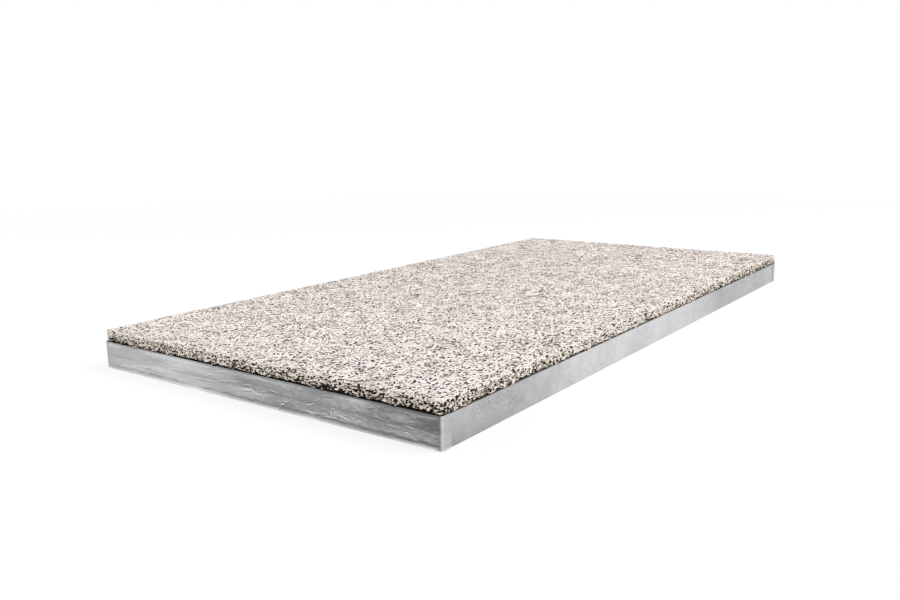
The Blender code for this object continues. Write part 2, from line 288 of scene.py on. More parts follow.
@dataclass(frozen=True)
class StrandFinish(Finish):
    """Cement-coated wood strands, pale where they lie high, with painted shade that darkens them brown and
    dark down in the pores.
    """

    name: str = "cement bound strands"
    # Colours by the strand's own tone, the painted shade by its depth, and the clouds and fibres over it.
    tones: tuple[Stop, ...] = (
        (0.00, srgb(214, 200, 187)),
        (0.15, srgb(227, 215, 207)),
        (0.50, srgb(233, 222, 215)),
        (1.00, srgb(239, 229, 223)),
    )
    depths: tuple[Stop, ...] = (
        (0.00, (1.00, 1.00, 1.00)),
        (0.22, (0.96, 0.95, 0.94)),
        (0.42, (0.55, 0.50, 0.46)),
        (0.65, (0.16, 0.13, 0.115)),
        (1.00, (0.05, 0.04, 0.035)),
    )
    stains: tuple[Stop, ...] = (
        (0.36, (1.0, 0.97, 0.96)),
        (0.50, (1.0, 1.0, 1.0)),
        (0.64, (1.0, 1.0, 0.965)),
    )
    streaks: tuple[Stop, ...] = ((0.25, (0.80, 0.77, 0.73)), (0.60, (1.0, 1.0, 1.0)))
    streak_share: float = 0.35
    # The small gaps, painted dark as shade, with pale rims as a painted highlight: their colours, their
    # spacing, and their radius, closed and open.
    gap: Colour = (0.030, 0.023, 0.020)
    glint: Colour = srgb(255, 253, 252)
    edge_glint: Colour = srgb(255, 249, 239)
    edge_gap: Colour = (0.032, 0.017, 0.009)
    top_cell: Triple = (0.0051, 0.0080, 0.0036)
    top_levels: tuple[float, float] = (0.300, 0.17)
    edge_cell: Triple = (0.0048, 0.0048, 0.0020)
    edge_levels: tuple[float, float] = (-0.15, 0.575)
    edge_painted_light: float = 0.6
    gap_wander: float = 0.7
    gap_wander_scale: float = 1.4
    gap_sharpness: float = 20.0
    rim: float = 0.20
    rim_sharpness: float = 8.0
    # The surface itself.
    stain_scale: float = 7.0
    roughness: float = 0.92
    specular: float = 0.25
    fibre_stretch: Triple = (0.22, 9.0, 1.0)
    fibre_scale: float = 340.0
    fibre_height: float = 0.00012
    grit_scale: float = 1900.0
    grit_share: float = 0.6

    def surface(self, graph: NodeGraph) -> bpy.types.NodeSocket:
        """A rough surface whose colour follows each strand's tone and its fibres, with painted shade by its
        depth, painted dark gaps with painted highlight rims, and painted light on the sides.

        Args:
            graph: The material's graph.

        Returns:
            The shader.
        """
        along = graph.add("ShaderNodeTexCoord").outputs["UV"]
        fibres = graph.noise(graph.stretched(along, self.fibre_stretch), self.fibre_scale, detail=3.0)
        grit = graph.noise(graph.object_point(), self.grit_scale)
        tone = graph.ramp(graph.attribute("strand_tone"), self.tones)
        toned = graph.mix(self.streak_share, tone, graph.ramp(fibres, self.streaks), "MULTIPLY")
        edge = graph.attribute("strand_edge")
        # Painted light: the strands of the sides are lightened towards a near-white colour, which also
        # colours the painted highlight rims; their gaps take a browner dark.
        pale = graph.mix(edge, self.glint, self.edge_glint)
        dark = graph.mix(edge, self.gap, self.edge_gap)
        edge_lit = graph.mix(graph.math("MULTIPLY", edge, self.edge_painted_light), toned, pale)
        # Painted shade: the strands darken with their depth, in pores and low on the sides.
        shade = graph.ramp(graph.attribute("strand_depth"), self.depths)
        shaded = graph.mix(1.0, edge_lit, shade, "MULTIPLY")
        clouds = graph.noise(graph.object_point(), self.stain_scale, detail=3.0)
        stained = graph.mix(1.0, shaded, graph.ramp(clouds, self.stains), "MULTIPLY")
        # Small gaps between strands, painted dark as shade, with pale rims round them as a painted
        # highlight.
        on_top = self.gap_reach(graph, self.top_cell, self.top_levels, "strand_gap")
        at_edge = self.gap_reach(graph, self.edge_cell, self.edge_levels, "strand_edge")
        inside = graph.math("MAXIMUM", on_top, at_edge)
        rim_level = self.rim * self.rim_sharpness
        rim = graph.math("MULTIPLY_ADD", inside, self.rim_sharpness, rim_level, clamp=True)
        opened = graph.math("MULTIPLY_ADD", inside, self.gap_sharpness, 0.5, clamp=True)
        edged = graph.mix(rim, stained, graph.mix(1.0, pale, shade, "MULTIPLY"))
        colour = graph.mix(opened, edged, dark)
        height = graph.math("ADD", fibres, graph.math("MULTIPLY", grit, self.grit_share))
        return graph.principled(
            {
                "Base Color": colour,
                "Roughness": self.roughness,
                "Specular IOR Level": self.specular,
                "Normal": graph.bump(height, self.fibre_height),
            }
        )

    def gap_reach(
        self, graph: NodeGraph, cell: Triple, levels: tuple[float, float], openness: str
    ) -> bpy.types.NodeSocket:
        """One pattern of small gaps between strands, painted dark as shade.

        Args:
            graph: The material's graph.
            cell: The gaps' spacing along each axis, in metres.
            levels: Their radius on closed strands, and what open strands add, as shares of the spacing.
            openness: The mesh's number that tells how open the strands are.

        Returns:
            How far inside a gap the point is, as a share of the gaps' spacing, and below 0 outside them.
        """
        point = graph.stretched(graph.object_point(), tuple(1 / side for side in cell))
        pattern = {"Vector": point, "Scale": self.gap_wander_scale, "Detail": 1.0}
        wander = graph.add("ShaderNodeTexNoise", pattern)
        moved = graph.add(
            "ShaderNodeVectorMath",
            {0: wander.outputs["Color"], 1: (self.gap_wander,) * 3, 2: point},
            operation="MULTIPLY_ADD",
        )
        cells = graph.add("ShaderNodeTexVoronoi", {"Vector": moved.outputs[0], "Scale": 1.0})
        least, span = levels
        level = graph.math("MULTIPLY_ADD", graph.attribute(openness), span, least)
        return graph.math("SUBTRACT", level, cells.outputs["Distance"])


@dataclass(frozen=True)
class HeartFinish(Finish):
    """The inside of the slab, seen only at the bottom of its pores, in a dark brown that is painted shade.
    """

    name: str = "slab heart painted shade"
    dark: Colour = srgb(38, 29, 23)
    light: Colour = srgb(92, 76, 62)
    levels: tuple[float, float] = (0.35, 0.75)
    roughness: float = 1.0
    specular: float = 0.1
    crumb_scale: float = 420.0
    crumb_height: float = 0.0012

    def surface(self, graph: NodeGraph) -> bpy.types.NodeSocket:
        """A matt crumble whose dark brown is painted shade.

        Args:
            graph: The material's graph.

        Returns:
            The shader.
        """
        crumbs = graph.noise(graph.object_point(), self.crumb_scale, detail=4.0)
        return graph.principled(
            {
                "Base Color": graph.ramp(crumbs, zip(self.levels, (self.dark, self.light))),
                "Roughness": self.roughness,
                "Specular IOR Level": self.specular,
                "Normal": graph.bump(crumbs, self.crumb_height),
            }
        )


@dataclass(frozen=True)
class FoilFinish(Finish):
    """Satin aluminium foil with rolling lines and faint clouds, and creases with painted highlights and
    painted shade.
    """

    name: str = "satin foil"
    bright: Colour = srgb(216, 216, 218)
    dull: Colour = srgb(192, 193, 196)
    # The first is the painted highlight of creases; the second the painted shade of creases, folds, the
    # seam lap and the darkening along the faces.
    ridge: Colour = srgb(246, 246, 247)
    shade_grey: Colour = srgb(92, 92, 92)
    speck: Colour = srgb(96, 92, 90)
    speck_scale: float = 330.0
    speck_levels: tuple[float, float] = (-16.0, 5.6)
    cloud_scale: float = 11.0
    cloud_share: float = 0.55
    mottle_scale: float = 70.0
    mottle_stretch: Triple = (1.0, 1.0, 2.4)
    mottle_share: float = 0.45
    mottle_height: float = 2.0
    patch_levels: tuple[float, float] = (0.36, 0.62)
    scuff_scale: float = 560.0
    scuff_stretch: Triple = (0.20, 0.20, 1.0)
    scuff_levels: tuple[float, float] = (7.0, -3.5)
    metallic: float = 0.6
    roughness: tuple[float, float] = (0.34, 0.50)
    line_scale: float = 260.0
    line_stretch: Triple = (0.25, 0.25, 14.0)
    line_height: float = 0.00006

    def surface(self, graph: NodeGraph) -> bpy.types.NodeSocket:
        """A satin metal whose colour and gloss vary with clouds and wear, with highlights and shade painted
        in along the mesh's creases and faces.

        Args:
            graph: The material's graph.

        Returns:
            The shader.
        """
        point = graph.object_point()
        spots = graph.noise(point, self.speck_scale, detail=1.0)
        specks = graph.math("MULTIPLY_ADD", spots, *self.speck_levels, clamp=True)
        wear = graph.math("MULTIPLY", specks, graph.attribute("foil_wear"))
        clouds = graph.noise(point, self.cloud_scale, detail=3.0)
        clouded = graph.math("MULTIPLY", clouds, self.cloud_share)
        mottle = graph.noise(graph.stretched(point, self.mottle_stretch), self.mottle_scale, detail=4.0)
        lines = graph.noise(graph.stretched(point, self.line_stretch), self.line_scale)
        patches = graph.math("ADD", clouded, graph.math("MULTIPLY", mottle, self.mottle_share))
        base = graph.ramp(patches, zip(self.patch_levels, (self.dull, self.bright)))
        # Painted shade: the foil darkened along its faces, on its laps and in the seam, with soft smudge
        # marks on the long sides.
        worn = graph.mix(graph.attribute("foil_dull"), base, self.shade_grey)
        scuffs = graph.noise(graph.stretched(point, self.scuff_stretch), self.scuff_scale)
        marks = graph.math("MULTIPLY_ADD", scuffs, *self.scuff_levels)
        scuffed = graph.math("MULTIPLY", marks, graph.attribute("foil_scuff"))
        # Painted highlights and painted shade of creases, corners, hem, brow and eave, with scuff marks,
        # which are wear.
        crease = graph.math("ADD", graph.attribute("foil_crease"), scuffed)
        high = graph.math("MULTIPLY", crease, 1.0, clamp=True)
        low = graph.math("MULTIPLY", crease, -1.0, clamp=True)
        lit = graph.mix(high, worn, self.ridge)
        folded = graph.mix(low, lit, self.shade_grey)
        colour = graph.mix(wear, folded, self.speck)
        gloss = graph.add(
            "ShaderNodeMapRange",
            {"Value": mottle, "To Min": self.roughness[0], "To Max": self.roughness[1]},
        )
        relief = graph.math("ADD", lines, graph.math("MULTIPLY", mottle, self.mottle_height))
        return graph.principled(
            {
                "Base Color": colour,
                "Metallic": self.metallic,
                "Roughness": gloss.outputs[0],
                "Normal": graph.bump(relief, self.line_height),
            }
        )


@dataclass(frozen=True)
class FoamFinish(Finish):
    """Fine closed-cell rigid foam, cream to yellow."""

    name: str = "rigid foam"
    light: Colour = srgb(240, 226, 184)
    dark: Colour = srgb(222, 200, 146)
    levels: tuple[float, float] = (0.3, 0.7)
    roughness: float = 0.9
    cloud_scale: float = 18.0
    cell_scale: float = 1400.0
    cell_height: float = 0.0003

    def surface(self, graph: NodeGraph) -> bpy.types.NodeSocket:
        """A matt foam with tiny cells and soft clouds of colour.

        Args:
            graph: The material's graph.

        Returns:
            The shader.
        """
        point = graph.object_point()
        cells = graph.add("ShaderNodeTexVoronoi", {"Vector": point, "Scale": self.cell_scale})
        clouds = graph.noise(point, self.cloud_scale, detail=3.0)
        return graph.principled(
            {
                "Base Color": graph.ramp(clouds, zip(self.levels, (self.dark, self.light))),
                "Roughness": self.roughness,
                "Normal": graph.bump(cells.outputs["Distance"], self.cell_height),
            }
        )


@dataclass(frozen=True)
class AdhesiveFinish(Finish):
    """Cured adhesive: amber, slightly glossy and lumpy."""

    name: str = "cured adhesive"
    light: Colour = srgb(226, 200, 138)
    dark: Colour = srgb(190, 152, 84)
    levels: tuple[float, float] = (0.3, 0.7)
    roughness: float = 0.45
    lump_scale: float = 160.0
    lump_height: float = 0.0006

    def surface(self, graph: NodeGraph) -> bpy.types.NodeSocket:
        """A lumpy amber bead.

        Args:
            graph: The material's graph.

        Returns:
            The shader.
        """
        lumps = graph.noise(graph.object_point(), self.lump_scale, detail=3.0)
        return graph.principled(
            {
                "Base Color": graph.ramp(lumps, zip(self.levels, (self.dark, self.light))),
                "Roughness": self.roughness,
                "Normal": graph.bump(lumps, self.lump_height),
            }
        )


class PlaneNoise:
    """Smooth noise on a plane, the same on every run."""

    def __init__(self, seed: int, cell: float, size: int = 512) -> None:
        """Draws the values at the corners of a repeating grid.

        Args:
            seed: Seed of the values.
            cell: Side of a grid cell in metres.
            size: Cells along each side before the pattern repeats.
        """
        self.cell = cell
        self.size = size
        self.grid = np.random.default_rng(seed).random((size, size))

    def __call__(self, x: np.ndarray, y: np.ndarray) -> np.ndarray:
        """Reads the noise.

        Args:
            x: Across the plane.
            y: Along the plane.

        Returns:
            The noise at each point, from 0 to 1.
        """
        u, v = x / self.cell, y / self.cell
        left, low = np.floor(u).astype(int), np.floor(v).astype(int)
        a, b = u - left, v - low
        a, b = a * a * (3 - 2 * a), b * b * (3 - 2 * b)
        i, j = left % self.size, low % self.size
        k, m = (i + 1) % self.size, (j + 1) % self.size
        bottom = self.grid[i, j] * (1 - a) + self.grid[k, j] * a
        top = self.grid[i, m] * (1 - a) + self.grid[k, m] * a
        return bottom * (1 - b) + top * b


@dataclass
class MeshParts:
    """What a piece's mesh is made of."""

    points: np.ndarray
    quads: np.ndarray
    attributes: dict[str, np.ndarray] = field(default_factory=dict)
    uvs: dict[str, np.ndarray] = field(default_factory=dict)

    def to_object(self, name: str, finish: Finish) -> bpy.types.Object:
        """Makes an object from the parts.

        Args:
            name: Name of the object.
            finish: The finish that it gets.

        Returns:
            The object, smooth shaded and in the scene.
        """
        mesh = bpy.data.meshes.new(name)
        mesh.vertices.add(len(self.points))
        mesh.vertices.foreach_set("co", self.points.astype(np.float32).ravel())
        mesh.loops.add(self.quads.size)
        mesh.loops.foreach_set("vertex_index", self.quads.astype(np.int32).ravel())
        mesh.polygons.add(len(self.quads))
        mesh.polygons.foreach_set("loop_start", np.arange(0, self.quads.size, 4, dtype=np.int32))
        for key, values in self.uvs.items():
            layer = mesh.uv_layers.new(name=key)
            layer.uv.foreach_set("vector", values[self.quads.ravel()].astype(np.float32).ravel())
        for key, values in self.attributes.items():
            layer = mesh.attributes.new(key, "FLOAT", "POINT")
            layer.data.foreach_set("value", values.astype(np.float32))
        mesh.update(calc_edges=True)
        mesh.validate()
        mesh.shade_smooth()
        mesh.materials.append(finish.material())
        return placed(name, mesh)


def grid_quads(rows: int, columns: int, closed: bool = False) -> np.ndarray:
    """Quads of a grid whose points are numbered row by row.

    Args:
        rows: Number of rows of points.
        columns: Points in each row.
        closed: Whether each row joins its last point to its first.

    Returns:
        An array with one row of four point numbers for each quad.
    """
    numbers = np.arange(rows * columns).reshape(rows, columns)
    if closed:
        numbers = np.hstack([numbers, numbers[:, :1]])
    corners = (numbers[:-1, :-1], numbers[:-1, 1:], numbers[1:, 1:], numbers[1:, :-1])
    return np.stack([c.ravel() for c in corners], axis=1)


def finished(piece: bpy.types.Object, slot: Slot, *nodes: str) -> bpy.types.Object:
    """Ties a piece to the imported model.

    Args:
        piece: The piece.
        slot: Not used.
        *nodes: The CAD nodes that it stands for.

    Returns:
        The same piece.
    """
    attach(piece, BODY)
    if nodes:
        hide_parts(*nodes)
    return piece


@dataclass
class SlabForm:
    """The outer form of the wood wool slab: a flat top that rolls over a worn arris down to the sides.

    Points on it are given on a flat sheet: the plan, with the sides folded out flat round it.
    """

    node: str = "wood_wool_slab"
    # How far strands may stand over the form, its worn edge and its rounded corners.
    crest: float = 0.0010
    arris: float = 0.0032
    corner: float = 0.0062
    side_setback: float = 0.0003
    bulge: float = 0.0004
    # The ragged lower edge of the sides and the loose ends that hang from it.
    seam_rag: float = 0.0030
    rag_seed: int = 91
    rag_cell: float = 0.011
    fray_cell: float = 0.0035
    rag_shares: tuple[float, float] = (0.6, 0.4)
    hang: float = 0.0034
    hang_below: float = 0.36
    hang_softness: float = 0.25
    end_lift: float = 0.0010
    side_lift: float = 0.0002
    # Which hanging ends come out in front of the foil, and how close to the model's outer sides.
    drape_gap: float = 0.0001
    drape_rise: float = 0.0006
    drape_depth: float = 0.0009

    def __post_init__(self) -> None:
        """Reads the slab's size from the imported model."""
        low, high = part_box(self.node)
        self.half_x = high.x - self.side_setback
        self.half_y = high.y - self.side_setback
        self.top = high.z - self.crest
        self.bottom = low.z
        self.rim = self.corner - self.arris
        self.bend = self.arris * math.pi / 2
        self.reach = self.bend + (self.top - self.bottom - self.arris) + self.hang
        self.drape_x = CAD_HIGH.x - self.drape_gap
        self.drape_y = CAD_HIGH.y - self.drape_gap
        self.rag = PlaneNoise(self.rag_seed, self.rag_cell)
        self.fray = PlaneNoise(self.rag_seed + 1, self.fray_cell)

    def ragged_bottom(self, x: np.ndarray, y: np.ndarray) -> np.ndarray:
        """The height that the side's strands end at, which changes along the edge.

        Args:
            x: Across the board.
            y: Along the board.

        Returns:
            The lowest height of a strand at each point.
        """
        wide, fine = self.rag_shares
        place = (x + EDGE_SHIFT, y + EDGE_SHIFT)
        worn = wide * self.rag(*place) + fine * self.fray(*place)
        hanging = np.clip((self.hang_below - worn) / self.hang_softness, 0.0, 1.0)
        lift = np.where(np.abs(y) > self.half_y - self.arris, self.end_lift, self.side_lift)
        return self.bottom + lift + self.seam_rag * worn**2 - self.hang * hanging

    def drape(self, points: np.ndarray) -> None:
        """Brings the outermost strands that hang below the slab out in front of the foil.

        Args:
            points: The strands' points, which are changed in place.
        """
        low = points[..., 2] < self.bottom + self.drape_rise
        for axis, edge, drape in ((0, self.half_x, self.drape_x), (1, self.half_y, self.drape_y)):
            across = points[..., axis]
            outer = low & (np.abs(across) > edge - self.drape_depth)
            points[..., axis] = np.where(outer, np.sign(across) * drape, across)

    def overhang(self, x: np.ndarray, y: np.ndarray) -> np.ndarray:
        """Measures how far out on the sheet each point lies.

        Args:
            x: Across the board, on the sheet.
            y: Along the board, on the sheet.

        Returns:
            How far the point is past the edge of the flat top, and below 0 on the top.
        """
        over_x = np.maximum(np.abs(x) - (self.half_x - self.corner), 0.0)
        over_y = np.maximum(np.abs(y) - (self.half_y - self.corner), 0.0)
        return np.hypot(over_x, over_y) - self.rim

    def fold(self, x: np.ndarray, y: np.ndarray) -> tuple[np.ndarray, np.ndarray]:
        """Folds points of the flat sheet on to the slab.

        Args:
            x: Across the board, on the sheet.
            y: Along the board, on the sheet.

        Returns:
            The points in space and the outward normals there.
        """
        core_x = np.clip(x, -(self.half_x - self.corner), self.half_x - self.corner)
        core_y = np.clip(y, -(self.half_y - self.corner), self.half_y - self.corner)
        away = np.stack([x - core_x, y - core_y], axis=-1)
        distance = np.linalg.norm(away, axis=-1)
        outward = away / np.maximum(distance, 1e-9)[..., None]
        past = np.clip(distance - self.rim, 0.0, self.reach)
        turn = np.minimum(past, self.bend) / self.arris
        down = self.arris * (1 - np.cos(turn)) + np.maximum(past - self.bend, 0.0)
        across = np.minimum(distance, self.rim) + self.arris * np.sin(turn)
        place = np.stack(
            [core_x + outward[..., 0] * across, core_y + outward[..., 1] * across, self.top - down],
            axis=-1,
        )
        level = np.sin(turn)[..., None]
        normal = np.concatenate([outward * level, np.cos(turn)[..., None]], axis=-1)
        return place, normal


@dataclass
class Relief:
    """Where the strands heap up and where they leave open pores."""

    # The two patterns, and how much of each there is.
    seed: int = 31
    coarse: float = 0.0034
    fine: float = 0.0019
    shares: tuple[float, float] = (0.55, 0.45)
    # The pores open where the pattern is low, and the strands heap up where it is high.
    opening: float = 0.32
    softness: float = 0.10
    depth: float = 0.0018
    swell: float = 0.0003
    heap_levels: tuple[float, float] = (0.5, 0.75)
    edge_opening: float = 0.07
    edge_depth: float = 0.0008

    def __post_init__(self) -> None:
        """Draws the two patterns that make up the relief."""
        self.wide = PlaneNoise(self.seed, self.coarse)
        self.narrow = PlaneNoise(self.seed + 1, self.fine)

    def __call__(self, x: np.ndarray, y: np.ndarray, side: np.ndarray) -> np.ndarray:
        """How far the surface lies below the slab's form, in metres.

        Args:
            x: Across the board, on the sheet.
            y: Along the board, on the sheet.
            side: How far over the edge each point is, from 0 on the flat top to 1 on the sides.

        Returns:
            The depth at each point.
        """
        wide, narrow = self.shares
        height = wide * self.wide(x, y) + narrow * self.narrow(x, y)
        pore = np.clip((self.opening + self.edge_opening * side - height) / self.softness, 0.0, 1.0)
        least, most = self.heap_levels
        heap = np.clip((height - least) / (most - least), 0.0, 1.0)
        return (self.depth + self.edge_depth * side) * pore + self.swell * (1.0 - heap)


@dataclass
class StrandLayer:
    """One layer of loose strands, laid at random on the slab's form."""

    name: str
    seed: int
    count: int
    depths: tuple[float, float]
    # How long and wide the strands are, how they curve, lean and twist, and how their ends dip.
    lengths: tuple[float, float] = (0.016, 0.046)
    widths: tuple[float, float] = (0.0010, 0.0021)
    segments: int = 6
    curl: float = 1.0
    sway: float = 0.35
    taper: float = 0.45
    tilt: float = 0.13
    twist: float = 0.22
    dip: tuple[float, float] = (0.0002, 0.0010)
    # Their tones, and the painted shade that makes them darker below others, in pores and low on the sides.
    tones: tuple[float, float] = (0.0, 1.0)
    tone_spread: tuple[float, float] = (2.6, 2.0)
    shade_depth: float = 0.0026
    own_shade: float = 0.20
    pore_shade: float = 0.50
    low_shade: float = 0.18
    # The small gaps of the top, painted dark as shade: more at the near corner, fewer at the far end and
    # the left.
    gap_depth: float = 0.0020
    gap_most: float = 0.7
    gap_fade: float = 0.56
    gap_left: float = 0.30
    gap_near: float = 0.24
    gap_side: float = 0.2
    # The small gaps of the sides, painted dark as shade: more low down, fewer along the middle of the long
    # sides.
    edge_open: tuple[float, float] = (0.85, 0.30)
    edge_calm: float = 0.26
    calm_place: float = -0.15
    calm_reach: float = 0.32
    edge_near: float = 0.08
    # How many strands are laid along the edge, and how they lie there.
    edge_share: float = 0.0
    edge_lean: float = 0.6
    edge_inset: float = 0.3
    edge_stretch: float = 1.02
    # Each strand's place on the second map, OFBake, made for baking its looks to.
    bake_aspect: float = 3.0
    bake_run: tuple[float, float] = (0.06, 0.94)
    bake_width: tuple[float, float] = (0.15, 0.85)

    def build(self, form: SlabForm, relief: Relief) -> bpy.types.Object:
        """Lays the strands.

        Args:
            form: The slab's form.
            relief: Its heaps and pores.

        Returns:
            One object with every strand of the layer.
        """
        rng = np.random.default_rng(self.seed)
        x, y, heading = self.starts(rng, form)
        length = rng.uniform(*self.lengths, self.count)
        steps = np.linspace(-0.5, 0.5, self.segments + 1)
        turn = rng.normal(0.0, self.curl, self.count)
        swing = rng.normal(0.0, self.sway, (self.count, 1))
        sway = swing * np.sin(2 * math.pi * (steps + rng.random((self.count, 1))))
        angle = heading[:, None] + turn[:, None] * steps + sway
        pace = (length / self.segments)[:, None]
        middle = (angle[:, 1:] + angle[:, :-1]) / 2
        start = np.zeros((self.count, 1))
        run_x = np.concatenate([start, np.cumsum(np.cos(middle) * pace, axis=1)], axis=1)
        run_y = np.concatenate([start, np.cumsum(np.sin(middle) * pace, axis=1)], axis=1)
        sheet_x = x[:, None] + run_x - run_x.mean(axis=1, keepdims=True)
        sheet_y = y[:, None] + run_y - run_y.mean(axis=1, keepdims=True)
        own = rng.uniform(*self.depths, (self.count, 1))
        dip = rng.uniform(*self.dip, (self.count, 1)) * (2 * steps) ** 2
        side = np.clip(form.overhang(sheet_x, sheet_y) / form.bend, 0.0, 1.0)
        pore = relief(sheet_x, sheet_y, side)
        place, normal = form.fold(sheet_x, sheet_y)
        under = own + dip
        centre = place - normal * (under + pore)[..., None]
        low = side * np.clip((form.top - place[..., 2]) / (form.top - form.bottom), 0.0, 1.0)
        # Painted shade: darker below other strands, in pores and low on the sides.
        shade = (self.pore_shade * pore + self.own_shade * under) / self.shade_depth
        shade = np.clip(shade, 0.0, 1.0) + self.low_shade * low**3
        gap, edge = self.openness(form, sheet_x, sheet_y, under, side, low)
        looks = {"strand_depth": shade, "strand_gap": gap, "strand_edge": edge}
        return self.ribbons(rng, form, centre, normal, length, looks)

    def openness(
        self,
        form: SlabForm,
        x: np.ndarray,
        y: np.ndarray,
        under: np.ndarray,
        side: np.ndarray,
        low: np.ndarray,
    ) -> tuple[np.ndarray, np.ndarray]:
        """Where small gaps, painted dark as shade, open between the strands: less towards the far end and
        the left.

        Args:
            form: The slab's form.
            x: Across the board, on the sheet.
            y: Along the board, on the sheet.
            under: How far the strand lies below the top layer.
            side: How far over the edge the point is, from 0 on the flat top to 1 on the sides.
            low: How far down the side it is, from 0 to 1.

        Returns:
            How open the strands are on the top and on the sides. The second is also how much of the sides'
            painted light and browner gap colour they take.
        """
        far = np.clip((1 + y / form.half_y) / 2, 0.0, 1.0)
        left = np.clip((1 - x / form.half_x) / 2, 0.0, 1.0)
        gap = np.clip(under / self.gap_depth, 0.0, self.gap_most)
        gap += self.gap_near * ((1 - left) * (1 - far)) ** 4
        gap -= self.gap_fade * far**3 + self.gap_left * left**3
        on_long_side = np.abs(x) - form.half_x > np.abs(y) - form.half_y
        long_calm = self.edge_calm * hump(y - self.calm_place, self.calm_reach)
        calm = np.where(on_long_side, long_calm, self.edge_near * (left * 2 - 1))
        plain, lower = self.edge_open
        return np.maximum(gap, self.gap_side * side), side * (plain + lower * low - calm)

    def starts(self, rng: np.random.Generator, form: SlabForm) -> tuple[np.ndarray, np.ndarray, np.ndarray]:
        """Where the strands' middles lie on the sheet, and which way they head.

        Args:
            rng: Source of the random numbers.
            form: The slab's form.

        Returns:
            Across, along and heading of each strand.
        """
        flat_x = form.half_x - form.arris
        flat_y = form.half_y - form.arris
        at_edge = rng.random(self.count) < self.edge_share
        x = rng.uniform(-1, 1, self.count) * flat_x
        y = rng.uniform(-1, 1, self.count) * flat_y
        heading = rng.uniform(0, 2 * math.pi, self.count)
        along = rng.uniform(0, 4 * (flat_x + flat_y), self.count)
        past = rng.uniform(-self.edge_inset * form.bend, form.reach, self.count)
        starts = (0.0, 2 * flat_x, 2 * (flat_x + flat_y), 4 * flat_x + 2 * flat_y)
        for start, (side_x, side_y) in zip(starts, ((0, -1), (1, 0), (0, 1), (-1, 0))):
            span = 2 * flat_x if side_y else 2 * flat_y
            here = at_edge & (along >= start) & (along < start + span)
            place = (along - start - span / 2) * self.edge_stretch
            out_x, out_y = flat_x + past, flat_y + past
            x[here] = (place if side_y else side_x * out_x)[here]
            y[here] = (side_y * out_y if side_y else place)[here]
            lean = rng.normal(0.0, self.edge_lean, self.count) + (0.0 if side_y else math.pi / 2)
            heading[here] = lean[here]
        return x, y, heading

    def ribbons(
        self,
        rng: np.random.Generator,
        form: SlabForm,
        centre: np.ndarray,
        normal: np.ndarray,
        length: np.ndarray,
        looks: dict[str, np.ndarray],
    ) -> bpy.types.Object:
        """Gives the centre lines their width, tilt and twist.

        Args:
            rng: Source of the random numbers.
            form: The slab's form.
            centre: Points along each strand.
            normal: The slab's outward normals there.
            length: Length of each strand.
            looks: Numbers that the finish reads, for each point along each strand.

        Returns:
            The layer's object.
        """
        tangent = np.gradient(centre, axis=1)
        tangent /= np.maximum(np.linalg.norm(tangent, axis=-1, keepdims=True), 1e-9)
        across = np.cross(normal, tangent)
        across /= np.maximum(np.linalg.norm(across, axis=-1, keepdims=True), 1e-9)
        steps = np.linspace(-0.5, 0.5, self.segments + 1)
        tilt = rng.normal(0.0, self.tilt, (self.count, 1))
        roll = tilt + rng.normal(0.0, self.twist, (self.count, 1)) * steps
        thinning = 1.0 - self.taper * (2 * np.abs(steps)) ** 4
        half = rng.uniform(*self.widths, (self.count, 1)) / 2 * thinning
        lean = across * np.cos(roll)[..., None] + normal * np.sin(roll)[..., None]
        left = centre - lean * half[..., None]
        right = centre + lean * half[..., None]
        points = np.stack([left, right], axis=2)
        lowest = form.ragged_bottom(points[..., 0], points[..., 1])
        points[..., 2] = np.clip(points[..., 2], lowest, form.top + form.crest)
        most_x, most_y = form.half_x + form.bulge, form.half_y + form.bulge
        points[..., 0] = np.clip(points[..., 0], -most_x, most_x)
        points[..., 1] = np.clip(points[..., 1], -most_y, most_y)
        form.drape(points)
        stations = self.segments + 1
        one = grid_quads(stations, 2)
        quads = (one[None] + (np.arange(self.count) * stations * 2)[:, None, None]).reshape(-1, 4)
        tone = np.clip(rng.beta(*self.tone_spread, self.count), *self.tones)
        run = (steps + 0.5)[None, :] * length[:, None] + rng.random((self.count, 1))
        shift = rng.random((self.count, 1, 1))
        side = np.array([0.0, 1.0])[None, None, :] * half[..., None] * 2 + shift
        along = np.repeat(run[..., None], 2, axis=2)
        parts = MeshParts(
            points.reshape(-1, 3),
            quads,
            {
                "strand_tone": np.repeat(tone, stations * 2),
                **{key: np.repeat(values.reshape(-1), 2) for key, values in looks.items()},
            },
            {"UVMap": np.stack([along, side], axis=-1).reshape(-1, 2), "OFBake": self.packed(stations)},
        )
        piece = parts.to_object(self.name, StrandFinish())
        return finished(piece, Slot.WOOD_WOOL, form.node)

    def packed(self, stations: int) -> np.ndarray:
        """A map on which every strand has a small place of its own.

        Args:
            stations: Points along each strand.

        Returns:
            One place for each point of the mesh.
        """
        columns = max(1, math.ceil(math.sqrt(self.count / self.bake_aspect)))
        rows = math.ceil(self.count / columns)
        number = np.arange(self.count)[:, None, None]
        along = np.linspace(*self.bake_run, stations)[None, :, None]
        across = np.array(self.bake_width)[None, None, :]
        u = number % columns + along + np.zeros((1, 1, 2))
        v = number // columns + across + np.zeros((1, stations, 1))
        return np.stack([u / columns, v / rows], axis=-1).reshape(-1, 2)


